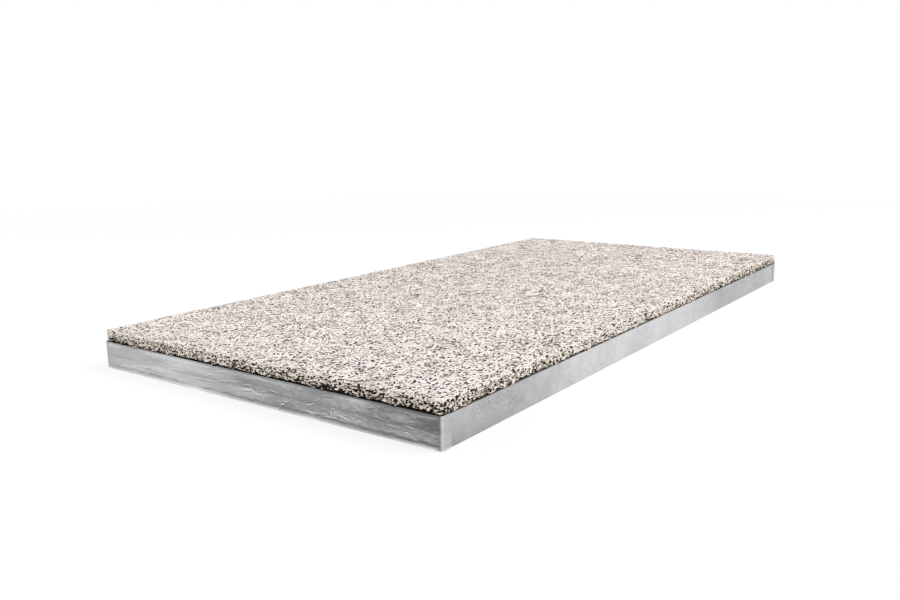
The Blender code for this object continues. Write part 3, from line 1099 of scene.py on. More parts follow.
@dataclass
class SlabHeart:
    """The body inside the strands, which shows at the bottom of the pores, in a dark brown that is painted
    shade.
    """

    name: str = "slab_heart"
    # How far inside the form it is, and how its sides crumble.
    seed: int = 77
    inset: float = 0.0030
    floor: float = 0.0008
    roughness: float = 0.0007
    crumble: float = 0.005
    drift: tuple[float, float] = (3.1, 1.7)
    top_pull: float = 0.0015
    # How finely its outline is drawn.
    pitch: float = 0.006
    rings: int = 6
    corner_points: int = 5

    def build(self, form: SlabForm) -> bpy.types.Object:
        """Builds a closed body a few millimetres inside the slab's form.

        Args:
            form: The slab's form.

        Returns:
            The object.
        """
        half_x, half_y = form.half_x - self.inset, form.half_y - self.inset
        radius = form.corner - self.inset / 2
        plan = self.outline(half_x, half_y, radius)
        top, bottom = form.top - self.inset, form.bottom + self.floor
        noise = PlaneNoise(self.seed, self.crumble)
        rings = []
        for index in range(self.rings + 1):
            share = index / self.rings
            level = bottom + (top - bottom) * share
            pull = self.top_pull if index == self.rings else 0.0
            moved = plan + share * np.array(self.drift)
            worn = self.roughness * noise(moved[:, 0], moved[:, 1])
            scale = 1 - ((worn + pull) / half_x)
            rings.append(np.column_stack([plan * scale[:, None], np.full(len(plan), level)]))
        count = len(plan)
        points = np.concatenate([*rings, [[0, 0, bottom]], [[0, 0, top]]])
        bm = bmesh.new()
        verts = [bm.verts.new(p) for p in points]
        for quad in grid_quads(self.rings + 1, count, closed=True):
            bm.faces.new([verts[i] for i in quad])
        first, last = self.rings * count, len(points) - 1
        for i in range(count):
            j = (i + 1) % count
            bm.faces.new((verts[j], verts[i], verts[last - 1]))
            bm.faces.new((verts[first + i], verts[first + j], verts[last]))
        mesh = bpy.data.meshes.new(self.name)
        bm.to_mesh(mesh)
        bm.free()
        mesh.materials.append(HeartFinish().material())
        return finished(placed(self.name, mesh), Slot.WOOD_WOOL, form.node)

    def outline(self, half_x: float, half_y: float, radius: float) -> np.ndarray:
        """Points round a rectangle with rounded corners.

        Args:
            half_x: Half its size across the board.
            half_y: Half its size along the board.
            radius: Radius of its corners.

        Returns:
            The points, one row each, anticlockwise from above.
        """
        points = []
        for turn, (side_x, side_y) in enumerate(((1, -1), (1, 1), (-1, 1), (-1, -1))):
            centre = np.array([side_x * (half_x - radius), side_y * (half_y - radius)])
            angles = np.linspace(turn - 1, turn, self.corner_points) * math.pi / 2
            arc = centre + radius * np.column_stack([np.cos(angles), np.sin(angles)])
            points.extend(arc)
            length = 2 * (half_y if turn % 2 == 0 else half_x) - 2 * radius
            heading = np.array([-math.sin(angles[-1]), math.cos(angles[-1])])
            steps = max(1, round(length / self.pitch))
            points.extend(arc[-1] + heading * length * i / steps for i in range(1, steps))
        return np.array(points)


@dataclass(frozen=True)
class CreaseStyle:
    """How the creases of one foil face are drawn: how many, how long, how sharp and which way they run."""

    count: int
    lengths: tuple[float, float]
    widths: tuple[float, float]
    heights: tuple[float, float]
    lean: float
    steep_share: float = 0.1


class Creases:
    """A set of creases on one flat face, given by a run along it and a height up it."""

    # The steep ones: their angles in radians, and how long they are next to the others.
    STEEP_ANGLES = (0.8, 2.2)
    STEEP_LENGTH = 0.35
    # Most stand up as ridges and some are pressed in.
    RIDGE_AND_GROOVE = (1.0, -0.8)
    RIDGE_AND_GROOVE_ODDS = (0.68, 0.32)
    # How they bow and kink along their run, with the kinks' pace in radians for each metre.
    BOW = 0.10
    WIGGLE = (0.0001, 0.0005)
    KINKS = (180, 380)
    FINE_KINKS = 2.3
    FINE_KINK_SHARE = 0.4
    # The shade on one side of a ridge, and the gentle slope on both.
    SHADE_SIDES = (-1.0, 1.0)
    SHADE_SIDE_ODDS = (0.7, 0.3)
    SHADE_PLACE = 1.9
    SHADE_WIDTH = 1.2
    SHADE_SHARE = 0.7
    SLOPE_WIDTH = 5
    SLOPE_SHARE = 0.5

    def __init__(
        self, seed: int, style: CreaseStyle, span: tuple[float, float], rise: tuple[float, float]
    ) -> None:
        """Draws the creases.

        Args:
            seed: Seed of the creases.
            style: How they look.
            span: Where they lie along the face.
            rise: Where they lie up the face.
        """
        rng = np.random.default_rng(seed)
        count = style.count
        self.run = rng.uniform(*span, count)
        self.up = rng.uniform(*rise, count)
        steep = rng.random(count) < style.steep_share
        steep_angle = rng.uniform(*self.STEEP_ANGLES, count)
        self.angle = np.where(steep, steep_angle, rng.normal(0, style.lean, count))
        self.half = rng.uniform(*style.lengths, count) / 2 * np.where(steep, self.STEEP_LENGTH, 1.0)
        self.width = rng.uniform(*style.widths, count)
        height = rng.uniform(*style.heights, count)
        self.height = height * rng.choice(self.RIDGE_AND_GROOVE, count, p=self.RIDGE_AND_GROOVE_ODDS)
        self.bow = rng.normal(0, self.BOW, count)
        self.wiggle = rng.uniform(*self.WIGGLE, count)
        self.pace = rng.uniform(*self.KINKS, count)
        self.side = rng.choice(self.SHADE_SIDES, count, p=self.SHADE_SIDE_ODDS)

    def lines(self, run: np.ndarray, up: np.ndarray) -> tuple[np.ndarray, np.ndarray]:
        """The creases' relief and how they catch the light.

        Args:
            run: Along the face.
            up: Up the face.

        Returns:
            The creases' height in metres, and their gleam, as a height that is below 0 in their shade.
        """
        total, gleam = np.zeros_like(run), np.zeros_like(run)
        for i in range(len(self.run)):
            across, rise = run - self.run[i], up - self.up[i]
            cos, sin = math.cos(self.angle[i]), math.sin(self.angle[i])
            along = across * cos + rise * sin
            near = np.abs(along) < self.half[i]
            along, across, rise = along[near], across[near], rise[near]
            turn = along * self.pace[i]
            kinks = zigzag(turn + i) + self.FINE_KINK_SHARE * zigzag(turn * self.FINE_KINKS)
            bend = self.bow[i] * along**2 / self.half[i] + self.wiggle[i] * kinks
            off = rise * cos - across * sin - bend
            fade = 1 - (along / self.half[i]) ** 2
            width = self.width[i]
            ridge = hump(off, width)
            shaded = hump(off - self.side[i] * width * self.SHADE_PLACE, width * self.SHADE_WIDTH)
            slope = np.exp(-np.abs(off) / (width * self.SLOPE_WIDTH))
            total[near] += self.height[i] * fade * (ridge + self.SLOPE_SHARE * slope)
            gleam[near] += fade * self.height[i] * (ridge - self.SHADE_SHARE * shaded)
        return total, gleam


@dataclass
class EndFoil:
    """The creased foil strip on one short end, lapped round both upright corners and over the top."""

    end: End
    seed: int
    pitch: float = 0.0008
    side_setback: float = 0.0002
    limits: tuple[float, float] = (-0.00030, 0.00075)
    # The laps round the upright corners, with painted shade on the laps and a painted highlight on the
    # rounded corners.
    lap: float = 0.0165
    lap_steps: int = 12
    lap_wave: float = 0.0012
    lap_tuck: float = 0.0004
    lap_freedom: float = 0.25
    lap_painted_shade: tuple[float, float] = (0.31, 0.10)
    lap_scuff: float = 0.03
    corner: float = 0.0035
    corner_steps: int = 8
    corner_freedom: float = 0.05
    corner_gleam: float = 0.40
    # The lap over the top, painted dark as shade where it lies in the seam.
    top_lap: float = 0.0195
    flap_inset: float = 0.004
    flap_shares: tuple[float, ...] = (0.03, 0.3, 0.65, 1.0)
    # The creases, with their painted highlights and shade: how many and how large, and where they lie along
    # the face and up it.
    long_creases: CreaseStyle = CreaseStyle(
        14, (0.030, 0.080), (0.0005, 0.0007), (0.00004, 0.00011), lean=0.08, steep_share=0.0
    )
    short_creases: CreaseStyle = CreaseStyle(
        46, (0.006, 0.026), (0.0005, 0.0006), (0.00004, 0.00014), lean=0.22, steep_share=0.05
    )
    sharp_creases: CreaseStyle = CreaseStyle(
        15, (0.010, 0.034), (0.0005, 0.0006), (0.00010, 0.00026), lean=0.40, steep_share=0.12
    )
    corner_creases: CreaseStyle = CreaseStyle(
        34, (0.005, 0.020), (0.0005, 0.0006), (0.00005, 0.00014), lean=0.16, steep_share=0.08
    )
    sharp_span: tuple[float, float] = (-0.17, 0.00)
    corner_end: float = -0.06
    full_margins: tuple[float, float] = (0.005, 0.003)
    lower_rise: tuple[float, float] = (0.006, 0.024)
    gleam_height: float = 0.00017
    gleam_limit: float = 0.9
    face_freedom: float = 0.15
    face_fade: float = 0.008
    # The wide swell and the smears, which are painted into the gleam as light and shade, and the waves that
    # the lines along the face follow.
    swell_cell: float = 0.035
    swell_squash: float = 1.6
    swell_height: float = 0.0008
    swell_gleam: float = 0.25
    smear_cell: float = 0.009
    smear_stretch: float = 0.15
    smear_gleam: float = 0.45
    wave_cell: float = 0.008
    # The hem at the foot with its painted highlight, and the groove over it with painted shade.
    hem: float = 0.0050
    hem_share: float = 0.6
    hem_gleam: float = 1.2
    groove_cell: float = 0.011
    groove_width: float = 0.0011
    groove_wave: float = 0.0020
    groove_depth: float = 0.0005
    groove_breaks: tuple[float, float] = (0.20, 0.80)
    groove_shade: tuple[float, float] = (0.35, 0.90)
    # The line half way up with its painted highlight, the painted shade over it, the painted highlight of
    # the brow and the painted shade of the eave under the slab.
    band: float = 0.0160
    band_wave: float = 0.0015
    line_width: float = 0.0016
    line_gleam: float = 0.11
    shade_rise: float = 0.0037
    shade_width: float = 0.0013
    shade_strength: float = 0.09
    brow: float = 0.0041
    brow_width: float = 0.0012
    brow_gleam: float = 0.15
    eave: float = 0.0016
    eave_fade: float = 0.0012
    eave_shade: float = 0.9
    # Painted shade along the face: pairs of a place across the board, as a share of half its width, and how
    # much the foil is darkened there.
    painted_shade_profile: tuple[tuple[float, float], ...] = (
        (-1.0, 0.40),
        (-0.67, 0.21),
        (-0.33, 0.21),
        (-0.03, 0.66),
        (0.33, 0.53),
        (0.57, 0.66),
        (1.0, 0.90),
    )
    # Where the face ends and the laps begin, how much painted shade darkens its upper half, and its scuffs.
    face_edge: float = 0.07
    upper_painted_shade: float = 0.05
    upper_rise: float = 0.018
    upper_fade: float = 0.002
    scuffs: tuple[float, float] = (0.04, 0.06)
    scuff_depth: float = 0.0012

    def __post_init__(self) -> None:
        """Reads the strip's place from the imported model."""
        self.node = f"end_foil_{self.end.name.lower()}"
        low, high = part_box(self.node)
        self.half_x = high.x - self.side_setback
        self.face = max(abs(low.y), abs(high.y)) - self.limits[1]
        self.bottom = low.z
        self.top = high.z

    def build(self) -> bpy.types.Object:
        """Builds the strip as one creased sheet.

        Returns:
            The object.
        """
        place, normal, run, freedom = self.path()
        rows = round((self.top - self.bottom) / self.pitch) + 1
        rise = np.linspace(self.bottom, self.top, rows)
        across = np.broadcast_to(run, (rows, len(run)))
        up = np.broadcast_to(rise[:, None], across.shape)
        lift, gleam = self.relief(across, up)
        # Painted highlight on the rounded corners.
        on_corner = np.clip(4 * normal[:, 0] ** 2 * normal[:, 1] ** 2, 0.0, 1.0)
        gleam = gleam * freedom + self.corner_gleam * on_corner
        lift = np.clip(lift * freedom, *self.limits)
        points = np.zeros((rows, len(run), 3))
        points[..., :2] = place[None] + normal[None] * lift[..., None]
        points[..., 2] = up
        self.wave_laps(points, up)
        turned = np.array([-self.end.value, self.end.value, 1.0])
        flap = self.flap(points[-1])
        flap_size = flap.size // 3
        count = len(run)
        flap_quads = grid_quads(len(flap) + 1, count) + (rows - 1) * count
        # The lap over the top is painted dark as shade, and takes no scuffs.
        parts = MeshParts(
            np.concatenate([points.reshape(-1, 3), flap.reshape(-1, 3)]) * turned,
            np.concatenate([grid_quads(rows, count), flap_quads])[:, ::-1],
            {
                "foil_crease": np.append(gleam, np.full(flap_size, -1.0)),
                "foil_dull": np.append(self.painted_dimming(points), np.ones(flap_size)),
                "foil_scuff": np.append(self.scuffing(points), np.zeros(flap_size)),
            },
        )
        piece = parts.to_object(f"{self.node}_skin", FoilFinish())
        return finished(piece, Slot.FOIL, self.node)

    def flap(self, edge: np.ndarray) -> np.ndarray:
        """The lap over the top, which starts at the face's upper edge.

        Args:
            edge: The top row of the face.

        Returns:
            Rows of points, from the edge inwards.
        """
        rows = []
        on_face = (np.abs(edge[:, 0]) < self.half_x - self.flap_inset)[:, None]
        for share in self.flap_shares:
            row = edge.copy()
            row[:, 1] = self.face - self.top_lap * share
            rows.append(np.where(on_face, row, edge))
        return np.array(rows)

    def path(self) -> tuple[np.ndarray, np.ndarray, np.ndarray, np.ndarray]:
        """The strip's plan, from one lap's edge to the other.

        Returns:
            Points, outward normals, the run along the strip from its middle, and how freely it may crease.
        """
        inner_x, inner_y = self.half_x - self.corner, self.face - self.corner
        tuck = ((self.half_x - self.lap_tuck, self.face - self.lap), (1.0, 0.0), 0.0)
        laps = np.linspace(self.face - self.lap, inner_y, self.lap_steps)
        turns = np.linspace(0, math.pi / 2, self.corner_steps)[1:-1]
        right = [tuck, *[((self.half_x, y), (1.0, 0.0), self.lap_freedom) for y in laps]]
        for turn in turns:
            normal = (math.cos(turn), math.sin(turn))
            point = (inner_x + self.corner * normal[0], inner_y + self.corner * normal[1])
            right.append((point, normal, self.corner_freedom))
        middle = []
        for x in np.linspace(inner_x, -inner_x, round(2 * inner_x / self.pitch)):
            freedom = min(1.0, self.face_freedom + (inner_x - abs(x)) / self.face_fade)
            middle.append(((x, self.face), (0.0, 1.0), freedom))
        left = [((-p[0], p[1]), (-n[0], n[1]), f) for p, n, f in reversed(right)]
        stations = [*right, *middle, *left]
        place = np.array([s[0] for s in stations])
        normal = np.array([s[1] for s in stations])
        freedom = np.array([s[2] for s in stations])
        steps = np.linalg.norm(np.diff(place, axis=0), axis=1)
        run = np.concatenate([[0.0], np.cumsum(steps)])
        return place, normal, run - run[-1] / 2, freedom

    def relief(self, run: np.ndarray, up: np.ndarray) -> tuple[np.ndarray, np.ndarray]:
        """The creases of the face.

        Args:
            run: Along the strip, from its middle.
            up: Height above the ground.

        Returns:
            How far the foil stands proud, and its gleam: painted light and shade, from -1 in the shade of a
            ridge to 1 on it.
        """
        half = self.half_x
        foot, head = self.full_margins
        full = (self.bottom + foot, self.top - head)
        lower = tuple(self.bottom + rise for rise in self.lower_rise)
        sets = (
            (self.long_creases, (-half, half), lower),
            (self.short_creases, (-half, half), full),
            (self.sharp_creases, self.sharp_span, lower),
            (self.corner_creases, (-half, self.corner_end), lower),
        )
        lift, gleam = np.zeros_like(run), np.zeros_like(run)
        for index, (style, span, rise) in enumerate(sets):
            raised, shine = Creases(self.seed + index, style, span, rise).lines(run, up)
            lift += raised
            gleam += shine / self.gleam_height
        place = run + FACE_SHIFT
        swell = PlaneNoise(self.seed + 3, self.swell_cell)(place, up * self.swell_squash + FACE_SHIFT) - 0.5
        wave = PlaneNoise(self.seed + 4, self.wave_cell)(place, up * 0) - 0.5
        stretched = run * self.smear_stretch + FACE_SHIFT
        smears = PlaneNoise(self.seed + 8, self.smear_cell)(stretched, up + FACE_SHIFT) - 0.5
        groove = hump(up - self.bottom - self.hem - self.groove_wave * wave, self.groove_width)
        least, more = self.groove_breaks
        groove *= least + more * PlaneNoise(self.seed + 5, self.groove_cell)(place, up * 0)
        lift += self.swell_height * swell - self.groove_depth * groove
        everywhere, at_near = self.groove_shade
        near = np.clip((half - run) / (2 * half), 0.0, 1.0)
        # Painted highlight on the hem, the line and the brow; painted shade over the line, in the groove
        # and at the eave.
        hem = np.clip((self.bottom + self.hem * self.hem_share - up) / self.hem, 0.0, 1.0)
        band = up - self.bottom - self.band - self.band_wave * wave
        line = self.line_gleam * hump(band, self.line_width)
        line -= self.shade_strength * hump(band - self.shade_rise, self.shade_width)
        brow = self.brow_gleam * hump(self.top - self.brow - up, self.brow_width)
        eave = self.eave_shade * np.clip((up - self.top + self.eave) / self.eave_fade, 0.0, 1.0)
        shine = self.swell_gleam * swell + self.smear_gleam * smears
        shine = shine - (everywhere + at_near * near) * groove + self.hem_gleam * hem
        gleam += shine + line + brow - eave
        return lift, np.clip(gleam, -self.gleam_limit, self.gleam_limit)

    def wave_laps(self, points: np.ndarray, up: np.ndarray) -> None:
        """Gives the laps' free edges a slight wave, fading out towards the corner.

        Args:
            points: The strip's points, which are changed in place.
            up: Height of each point.
        """
        height = up[:, 0]
        for seed, first, way in ((self.seed + 6, 0, 1), (self.seed + 7, -1, -1)):
            noise = PlaneNoise(seed, self.wave_cell)(height + EDGE_SHIFT, height * 0)
            wave = (noise - 0.5) * 2 * self.lap_wave
            for step in range(self.lap_steps):
                points[:, first + way * step, 1] += wave * (1 - step / self.lap_steps)

    def painted_dimming(self, points: np.ndarray) -> np.ndarray:
        """How much painted shade darkens the foil: set along the face, a little more in its upper half, and
        its own on the laps.

        Args:
            points: The strip's points.

        Returns:
            The painted shade at each point.
        """
        inwards = (self.face - points[..., 1]) / self.lap
        at_corner, more = self.lap_painted_shade
        on_lap = at_corner + more * np.clip(inwards, 0, 1)
        above = points[..., 2] - self.bottom - self.upper_rise
        upper = self.upper_painted_shade * np.tanh(above / self.upper_fade)
        handled = np.interp(points[..., 0] / self.half_x, *zip(*self.painted_shade_profile))
        return np.where(inwards < self.face_edge, handled + upper, on_lap)

    def scuffing(self, points: np.ndarray) -> np.ndarray:
        """How scuffed the foil is: more towards the corner that was handled most.

        Args:
            points: The strip's points.

        Returns:
            The scuffing at each point.
        """
        share = np.clip((1 + points[..., 0] / self.half_x) / 2, 0, 1)
        least, more = self.scuffs
        on_face = points[..., 1] > self.face - self.scuff_depth
        return np.where(on_face, least + more * share, self.lap_scuff)


@dataclass
class LongFoil:
    """The lower facer: one sheet that covers the underside and is folded up over both long sides."""

    node: str = "lower_foil"
    seed: int = 401
    row_pitch: float = 0.0022
    rise_pitch: float = 0.0016
    half_length: float = 0.6
    rise: float = 0.038
    limits: tuple[float, float] = (-0.00025, 0.0003)
    corner: float = 0.0042
    # The fold at the foot of each side, with painted shade along it.
    fold: float = 0.0012
    fold_steps: int = 5
    fold_shade: float = 0.4
    floor_steps: int = 14
    # The creases of the sides, with a few more close to the near end, their painted highlights and shade,
    # and the waves.
    creases: CreaseStyle = CreaseStyle(
        22, (0.015, 0.050), (0.0012, 0.0018), (0.00003, 0.00008), lean=0.6, steep_share=0.4
    )
    crease_rise: tuple[float, float] = (0.006, 0.034)
    near_creases: CreaseStyle = CreaseStyle(
        6, (0.008, 0.018), (0.0009, 0.0012), (0.00002, 0.00005), lean=0.9, steep_share=0.3
    )
    near_span: tuple[float, float] = (-0.59, -0.54)
    near_rise: tuple[float, float] = (0.012, 0.034)
    gleam_height: float = 0.0003
    gleam_limit: float = 0.6
    wave_cell: float = 0.06
    wave_height: float = 0.0004
    # Scuffs, specks of wear, soft smudge marks, and a painted shade that is darker low and lighter high on
    # the sides near the near end.
    scuff: float = 0.03
    wear_place: float = -0.49
    wear_reach: float = 0.045
    wear_rise: float = 0.012
    smudge: float = 0.30
    smudge_ends: tuple[float, float] = (0.35, 0.65)
    smudge_cells: tuple[float, float] = (0.026, 0.010)
    smudge_shares: tuple[float, float] = (0.6, 0.4)
    smudge_squash: float = 1.4
    slope: float = 0.30
    slope_middle: float = 0.45
    # Painted shade along the board: pairs of a place, as a share of half its length, and how much the foil
    # is darkened there.
    painted_shade_profile: tuple[tuple[float, float], ...] = (
        (-1.0, 0.43),
        (-0.77, 0.44),
        (-0.63, 0.17),
        (-0.43, 0.08),
        (-0.08, 0.10),
        (0.28, 0.18),
        (0.42, 0.43),
        (0.70, 0.44),
        (1.0, 0.32),
    )

    def build(self) -> bpy.types.Object:
        """Builds the sheet.

        Returns:
            The object.
        """
        low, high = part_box(self.node)
        section, normal = self.section(high.x, low.z, high.z)
        rows = round((high.y - low.y) / self.row_pitch) + 1
        along = np.linspace(low.y, high.y, rows)
        points = np.zeros((rows, len(section), 3))
        points[..., 0] = section[:, 0]
        points[..., 2] = section[:, 1]
        points[..., 1] = along[:, None]
        side = normal[:, 1] == 0.0
        folded = ~side & (normal[:, 0] != 0.0)
        up = np.where(side, section[:, 1], 0.0)
        shape = points.shape[:2]
        lift, sharp = self.relief(np.broadcast_to(along[:, None], shape), np.broadcast_to(up, shape))
        lift = np.clip(lift, *self.limits) * side
        points[..., 0] += normal[:, 0] * lift
        past = np.clip(np.abs(along) - (high.y - self.corner), 0.0, self.corner)
        points[..., 0] *= 1 - ((self.corner - np.sqrt(self.corner**2 - past**2)) / high.x)[:, None]
        worn = hump(along - self.wear_place, self.wear_reach)
        # Painted highlights and shade of the creases, painted shade along the folds, and painted shade with
        # smudge marks over the sides; the specks are wear.
        parts = MeshParts(
            points.reshape(-1, 3),
            grid_quads(*shape)[:, ::-1],
            {
                "foil_crease": (sharp * side - self.fold_shade * folded).reshape(-1),
                "foil_dull": (self.painted_dimming(along)[:, None] + self.smudges_and_painted_slope(along, up)).reshape(-1),
                "foil_scuff": np.full(points.size // 3, self.scuff),
                "foil_wear": np.outer(worn, up > self.wear_rise).reshape(-1),
            },
        )
        piece = parts.to_object("lower_foil_skin", FoilFinish())
        return finished(piece, Slot.FOIL, self.node)

    def section(self, half: float, bottom: float, top: float) -> tuple[np.ndarray, np.ndarray]:
        """The sheet's section, from the top of one side, under the core, to the top of the other.

        Args:
            half: Half the width of the core.
            bottom: Height of the underside.
            top: Height of the sides' upper edges.

        Returns:
            Points and outward normals in the section's plane.
        """
        steps = round((top - bottom - self.fold) / self.rise_pitch)
        side = [((half, z), (1.0, 0.0)) for z in np.linspace(top, bottom + self.fold, steps)]
        inner, level = half - self.fold, bottom + self.fold
        for turn in np.linspace(0, math.pi / 2, self.fold_steps)[1:-1]:
            normal = (math.cos(turn), -math.sin(turn))
            side.append(((inner + self.fold * normal[0], level + self.fold * normal[1]), normal))
        floor = [((x, bottom), (0.0, -1.0)) for x in np.linspace(inner, -inner, self.floor_steps)]
        other = [((-p[0], p[1]), (-n[0], n[1])) for p, n in reversed(side)]
        stations = [*side, *floor, *other]
        return np.array([s[0] for s in stations]), np.array([s[1] for s in stations])

    def relief(self, along: np.ndarray, up: np.ndarray) -> tuple[np.ndarray, np.ndarray]:
        """The faint waves and the few creases of the long sides.

        Args:
            along: Along the board.
            up: Height above the ground.

        Returns:
            How far the foil stands proud, and how sharply it is creased.
        """
        span = (-self.half_length, self.half_length)
        marks, shine = Creases(self.seed, self.creases, span, self.crease_rise).lines(along, up)
        near_set = Creases(self.seed + 1, self.near_creases, self.near_span, self.near_rise)
        near, near_shine = near_set.lines(along, up)
        noise = PlaneNoise(self.seed + 2, self.wave_cell)(along + FACE_SHIFT, up + FACE_SHIFT)
        gleam = np.clip((shine + near_shine) / self.gleam_height, -self.gleam_limit, self.gleam_limit)
        return (noise - 0.5) * self.wave_height + marks + near, gleam

    def smudges_and_painted_slope(self, along: np.ndarray, up: np.ndarray) -> np.ndarray:
        """Soft smudge marks on the sides, stronger towards the near end, with a painted shade that is
        darker low and lighter high near the near end.

        Args:
            along: Along the board, one value for each row.
            up: Height above the ground, one value for each point of a row.

        Returns:
            How much darker the foil is at each point, row by row, from smudge marks and painted shade.
        """
        place = (along[:, None] + FACE_SHIFT, up[None] * self.smudge_squash + FACE_SHIFT)
        wide, small = (
            share * PlaneNoise(self.seed + number, cell)(*place)
            for number, cell, share in zip((5, 6), self.smudge_cells, self.smudge_shares)
        )
        near = np.clip(-along / self.half_length, 0, 1)
        least, more = self.smudge_ends
        strength = self.smudge * (least + more * near)
        slope = self.slope * (near**2)[:, None] * (self.slope_middle - up[None] / self.rise)
        return strength[:, None] * (wide + small - 0.5) + slope

    def painted_dimming(self, along: np.ndarray) -> np.ndarray:
        """How much the foil is darkened at each place along the board, as painted shade."""
        return np.interp(along / self.half_length, *zip(*self.painted_shade_profile))


@dataclass
class HiddenLayers:
    """The layers that the board holds inside, which keep their CAD shapes and get finishes."""

    finishes: dict[str, Finish] = field(
        default_factory=lambda: {"foam_core": FoamFinish(), "upper_foil": FoilFinish()}
    )
    bead_prefix: str = "adhesive_bead_"

    def dress(self) -> Iterable[str]:
        """Gives each hidden node its finish.

        Returns:
            The names of the nodes.
        """
        dressed = []
        for name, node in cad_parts.items():
            finish = AdhesiveFinish() if name.startswith(self.bead_prefix) else self.finishes.get(name)
            if finish:
                for place in node.material_slots:
                    place.material = finish.material()
                dressed.append(name)
        return dressed


@dataclass
class ViewPoint:
    """The camera, placed by the lines of the board in the photograph, which is 900 pixels wide."""

    place: Triple = (0.8080, -1.2799, 0.3317)
    turn: float = -0.6293
    pitch: float = 0.1973
    roll: float = -0.0144
    focal_pixels: float = 862.83
    picture_width: int = 900
    sensor: float = 36.0
    nearest: float = 0.02
    farthest: float = 60.0

    def build(self) -> bpy.types.Object:
        """Makes the camera and sets it as the scene's own.

        Returns:
            The camera.
        """
        data = bpy.data.cameras.new("camera")
        data.sensor_width = self.sensor
        data.lens = self.focal_pixels * self.sensor / self.picture_width
        data.clip_start = self.nearest
        data.clip_end = self.farthest
        camera = placed("camera", data)
        level = math.cos(self.pitch)
        ahead = Vector((math.sin(self.turn) * level, math.cos(self.turn) * level, -math.sin(self.pitch)))
        right = Vector((math.cos(self.turn), -math.sin(self.turn), 0.0))
        up = right.cross(ahead)
        tilted = right * math.cos(self.roll) + up * math.sin(self.roll)
        upright = up * math.cos(self.roll) - right * math.sin(self.roll)
        axes = Matrix((tilted, upright, -ahead)).transposed().to_4x4()
        camera.matrix_world = Matrix.Translation(self.place) @ axes
        bpy.context.scene.camera = camera
        return camera


@dataclass(frozen=True)
class SoftBox:
    """One large soft lamp."""

    name: str
    place: Triple
    target: Triple
    size: float
    power: float
    colour: Colour = (1.0, 1.0, 1.0)

    def build(self) -> bpy.types.Object:
        """Makes the lamp, turned to its target.

        Returns:
            The lamp.
        """
        data = bpy.data.lights.new(self.name, "AREA")
        data.shape = "SQUARE"
        data.size = self.size
        data.energy = self.power
        data.color = self.colour
        lamp = placed(self.name, data)
        lamp.location = self.place
        lamp.rotation_mode = "QUATERNION"
        lamp.rotation_quaternion = (Vector(self.target) - Vector(self.place)).to_track_quat("-Z", "Y")
        return lamp


@dataclass(frozen=True)
class FloorFinish(Finish):
    """A white floor that keeps the object's shadow and shows as white background round it."""

    name: str = "studio floor"
    paint: Colour = (0.86, 0.86, 0.86)
    grain_scale: float = 30.0
    grain_shade: float = 0.99
    grain_levels: tuple[float, float] = (0.2, 0.8)
    background_share: float = 0.80
    near: float = 1.2
    far: float = 3.0

    def surface(self, graph: NodeGraph) -> bpy.types.NodeSocket:
        """Mixes the lit floor with plain white for what the camera, gloss and glass see.

        Args:
            graph: The material's graph.

        Returns:
            The shader.
        """
        grain = graph.noise(graph.object_point(), self.grain_scale)
        shaded = tuple(channel * self.grain_shade for channel in self.paint)
        paint = graph.ramp(grain, zip(self.grain_levels, (shaded, self.paint)))
        lit = graph.add("ShaderNodeBsdfDiffuse", {"Color": paint}).outputs[0]
        white = graph.add("ShaderNodeEmission", {"Color": (1.0, 1.0, 1.0), "Strength": 1.0}).outputs[0]
        distance = graph.add("ShaderNodeVectorMath", {0: graph.object_point()}, operation="LENGTH")
        plain = graph.add(
            "ShaderNodeMapRange",
            {
                "Value": distance.outputs["Value"],
                "From Min": self.near,
                "From Max": self.far,
                "To Min": self.background_share,
                "To Max": 1.0,
            },
        )
        share = graph.math("MULTIPLY", graph.seen(), plain.outputs[0])
        return graph.add("ShaderNodeMixShader", {0: share, 1: lit, 2: white}).outputs[0]


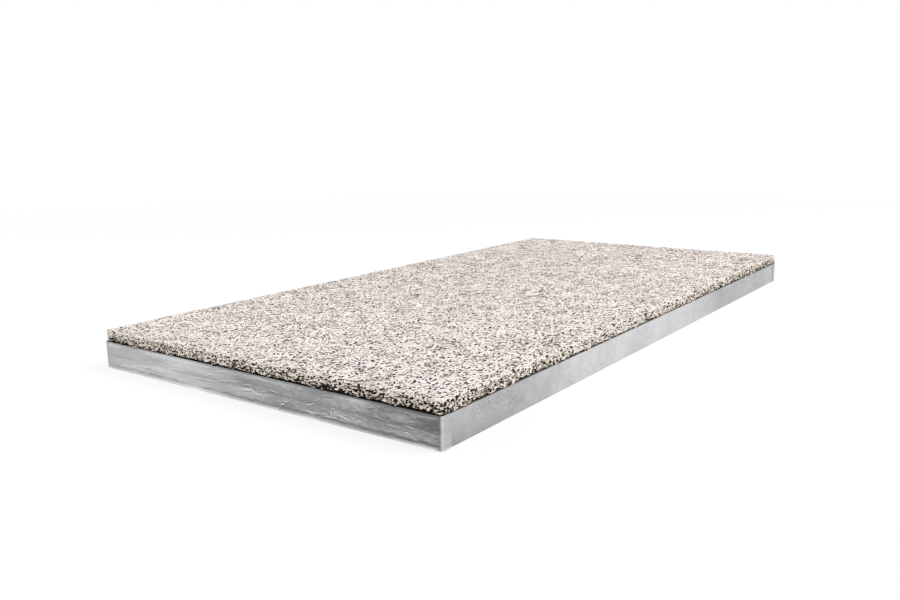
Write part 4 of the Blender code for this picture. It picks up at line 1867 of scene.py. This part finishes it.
@dataclass
class Studio:
    """A white floor, two soft lamps and a pale surround."""

    floor_half: float = 14.0
    floor_gap: float = 0.0004
    surround: float = 0.68
    lamps: tuple[SoftBox, ...] = (
        SoftBox("key", (1.7, 0.9, 2.6), (0.0, 0.0, 0.0), 2.2, 80.5),
        SoftBox("fill", (-2.1, -1.5, 1.4), (-0.2, -0.4, 0.0), 1.2, 28.0),
    )

    def build(self) -> None:
        """Makes the floor, the lamps and the surround."""
        self.floor()
        for lamp in self.lamps:
            lamp.build()
        self.world()
        bpy.context.scene.view_settings.view_transform = "Standard"

    def floor(self) -> bpy.types.Object:
        """Makes the floor, just under the board.

        Returns:
            The floor.
        """
        half, level = self.floor_half, CAD_LOW.z - self.floor_gap
        mesh = bpy.data.meshes.new("floor")
        corners = [(-half, -half, level), (half, -half, level), (half, half, level), (-half, half, level)]
        mesh.from_pydata(corners, [], [(0, 1, 2, 3)])
        mesh.materials.append(FloorFinish().material())
        made = placed("floor", mesh)
        return made

    def world(self) -> bpy.types.World:
        """Makes the surround: white where it is seen, and a soft grey light elsewhere.

        Returns:
            The world.
        """
        world = bpy.data.worlds.new("surround")
        world.use_nodes = True
        graph = NodeGraph(world.node_tree)
        colour = graph.mix(graph.seen(), (self.surround,) * 3, (1.0, 1.0, 1.0))
        background = graph.add("ShaderNodeBackground", {"Color": colour, "Strength": 1.0})
        graph.add("ShaderNodeOutputWorld", {"Surface": background.outputs[0]})
        bpy.context.scene.world = world
        return world


@dataclass
class Board:
    """The whole board, piece by piece."""

    layers: tuple[StrandLayer, ...] = (
        StrandLayer("strands_deep", 11, 6500, (0.0013, 0.0022), widths=(0.0014, 0.0026), tones=(0.0, 0.7)),
        StrandLayer("strands_low", 12, 11500, (0.0007, 0.0014)),
        StrandLayer("strands_middle", 13, 15500, (0.0003, 0.0008)),
        StrandLayer("strands_top", 14, 11500, (0.0, 0.0004), widths=(0.0012, 0.0025)),
        StrandLayer(
            "strands_long",
            15,
            2200,
            (0.0, 0.0006),
            lengths=(0.050, 0.120),
            widths=(0.0010, 0.0020),
            segments=14,
            curl=1.6,
        ),
        StrandLayer(
            "strands_edge",
            16,
            15000,
            (0.0, 0.0016),
            lengths=(0.010, 0.030),
            widths=(0.0008, 0.0019),
            segments=5,
            tilt=0.7,
            twist=1.4,
            own_shade=0.32,
            edge_share=1.0,
            edge_lean=0.40,
        ),
    )

    def build(self) -> Iterable[bpy.types.Object]:
        """Builds and dresses every piece.

        Returns:
            The new pieces.
        """
        form = SlabForm()
        relief = Relief()
        makers: list[Callable[[], bpy.types.Object]] = [
            lambda: SlabHeart().build(form),
            *[lambda layer=layer: layer.build(form, relief) for layer in self.layers],
            LongFoil().build,
            EndFoil(End.FRONT, 501).build,
            EndFoil(End.BACK, 601, pitch=0.0012).build,
        ]
        made = []
        for make in makers:
            piece = make()
            LOG.info("%s: %d faces", piece.name, len(piece.data.polygons))
            made.append(piece)
        for name in HiddenLayers().dress():
            LOG.info("%s: dressed", name)
        return made


def main() -> None:
    """Builds the camera, the board and the studio."""
    logging.basicConfig(level=logging.INFO, format="%(name)s %(message)s")
    ViewPoint().build()
    Board().build()
    Studio().build()


if __name__ == "__main__":
    main()
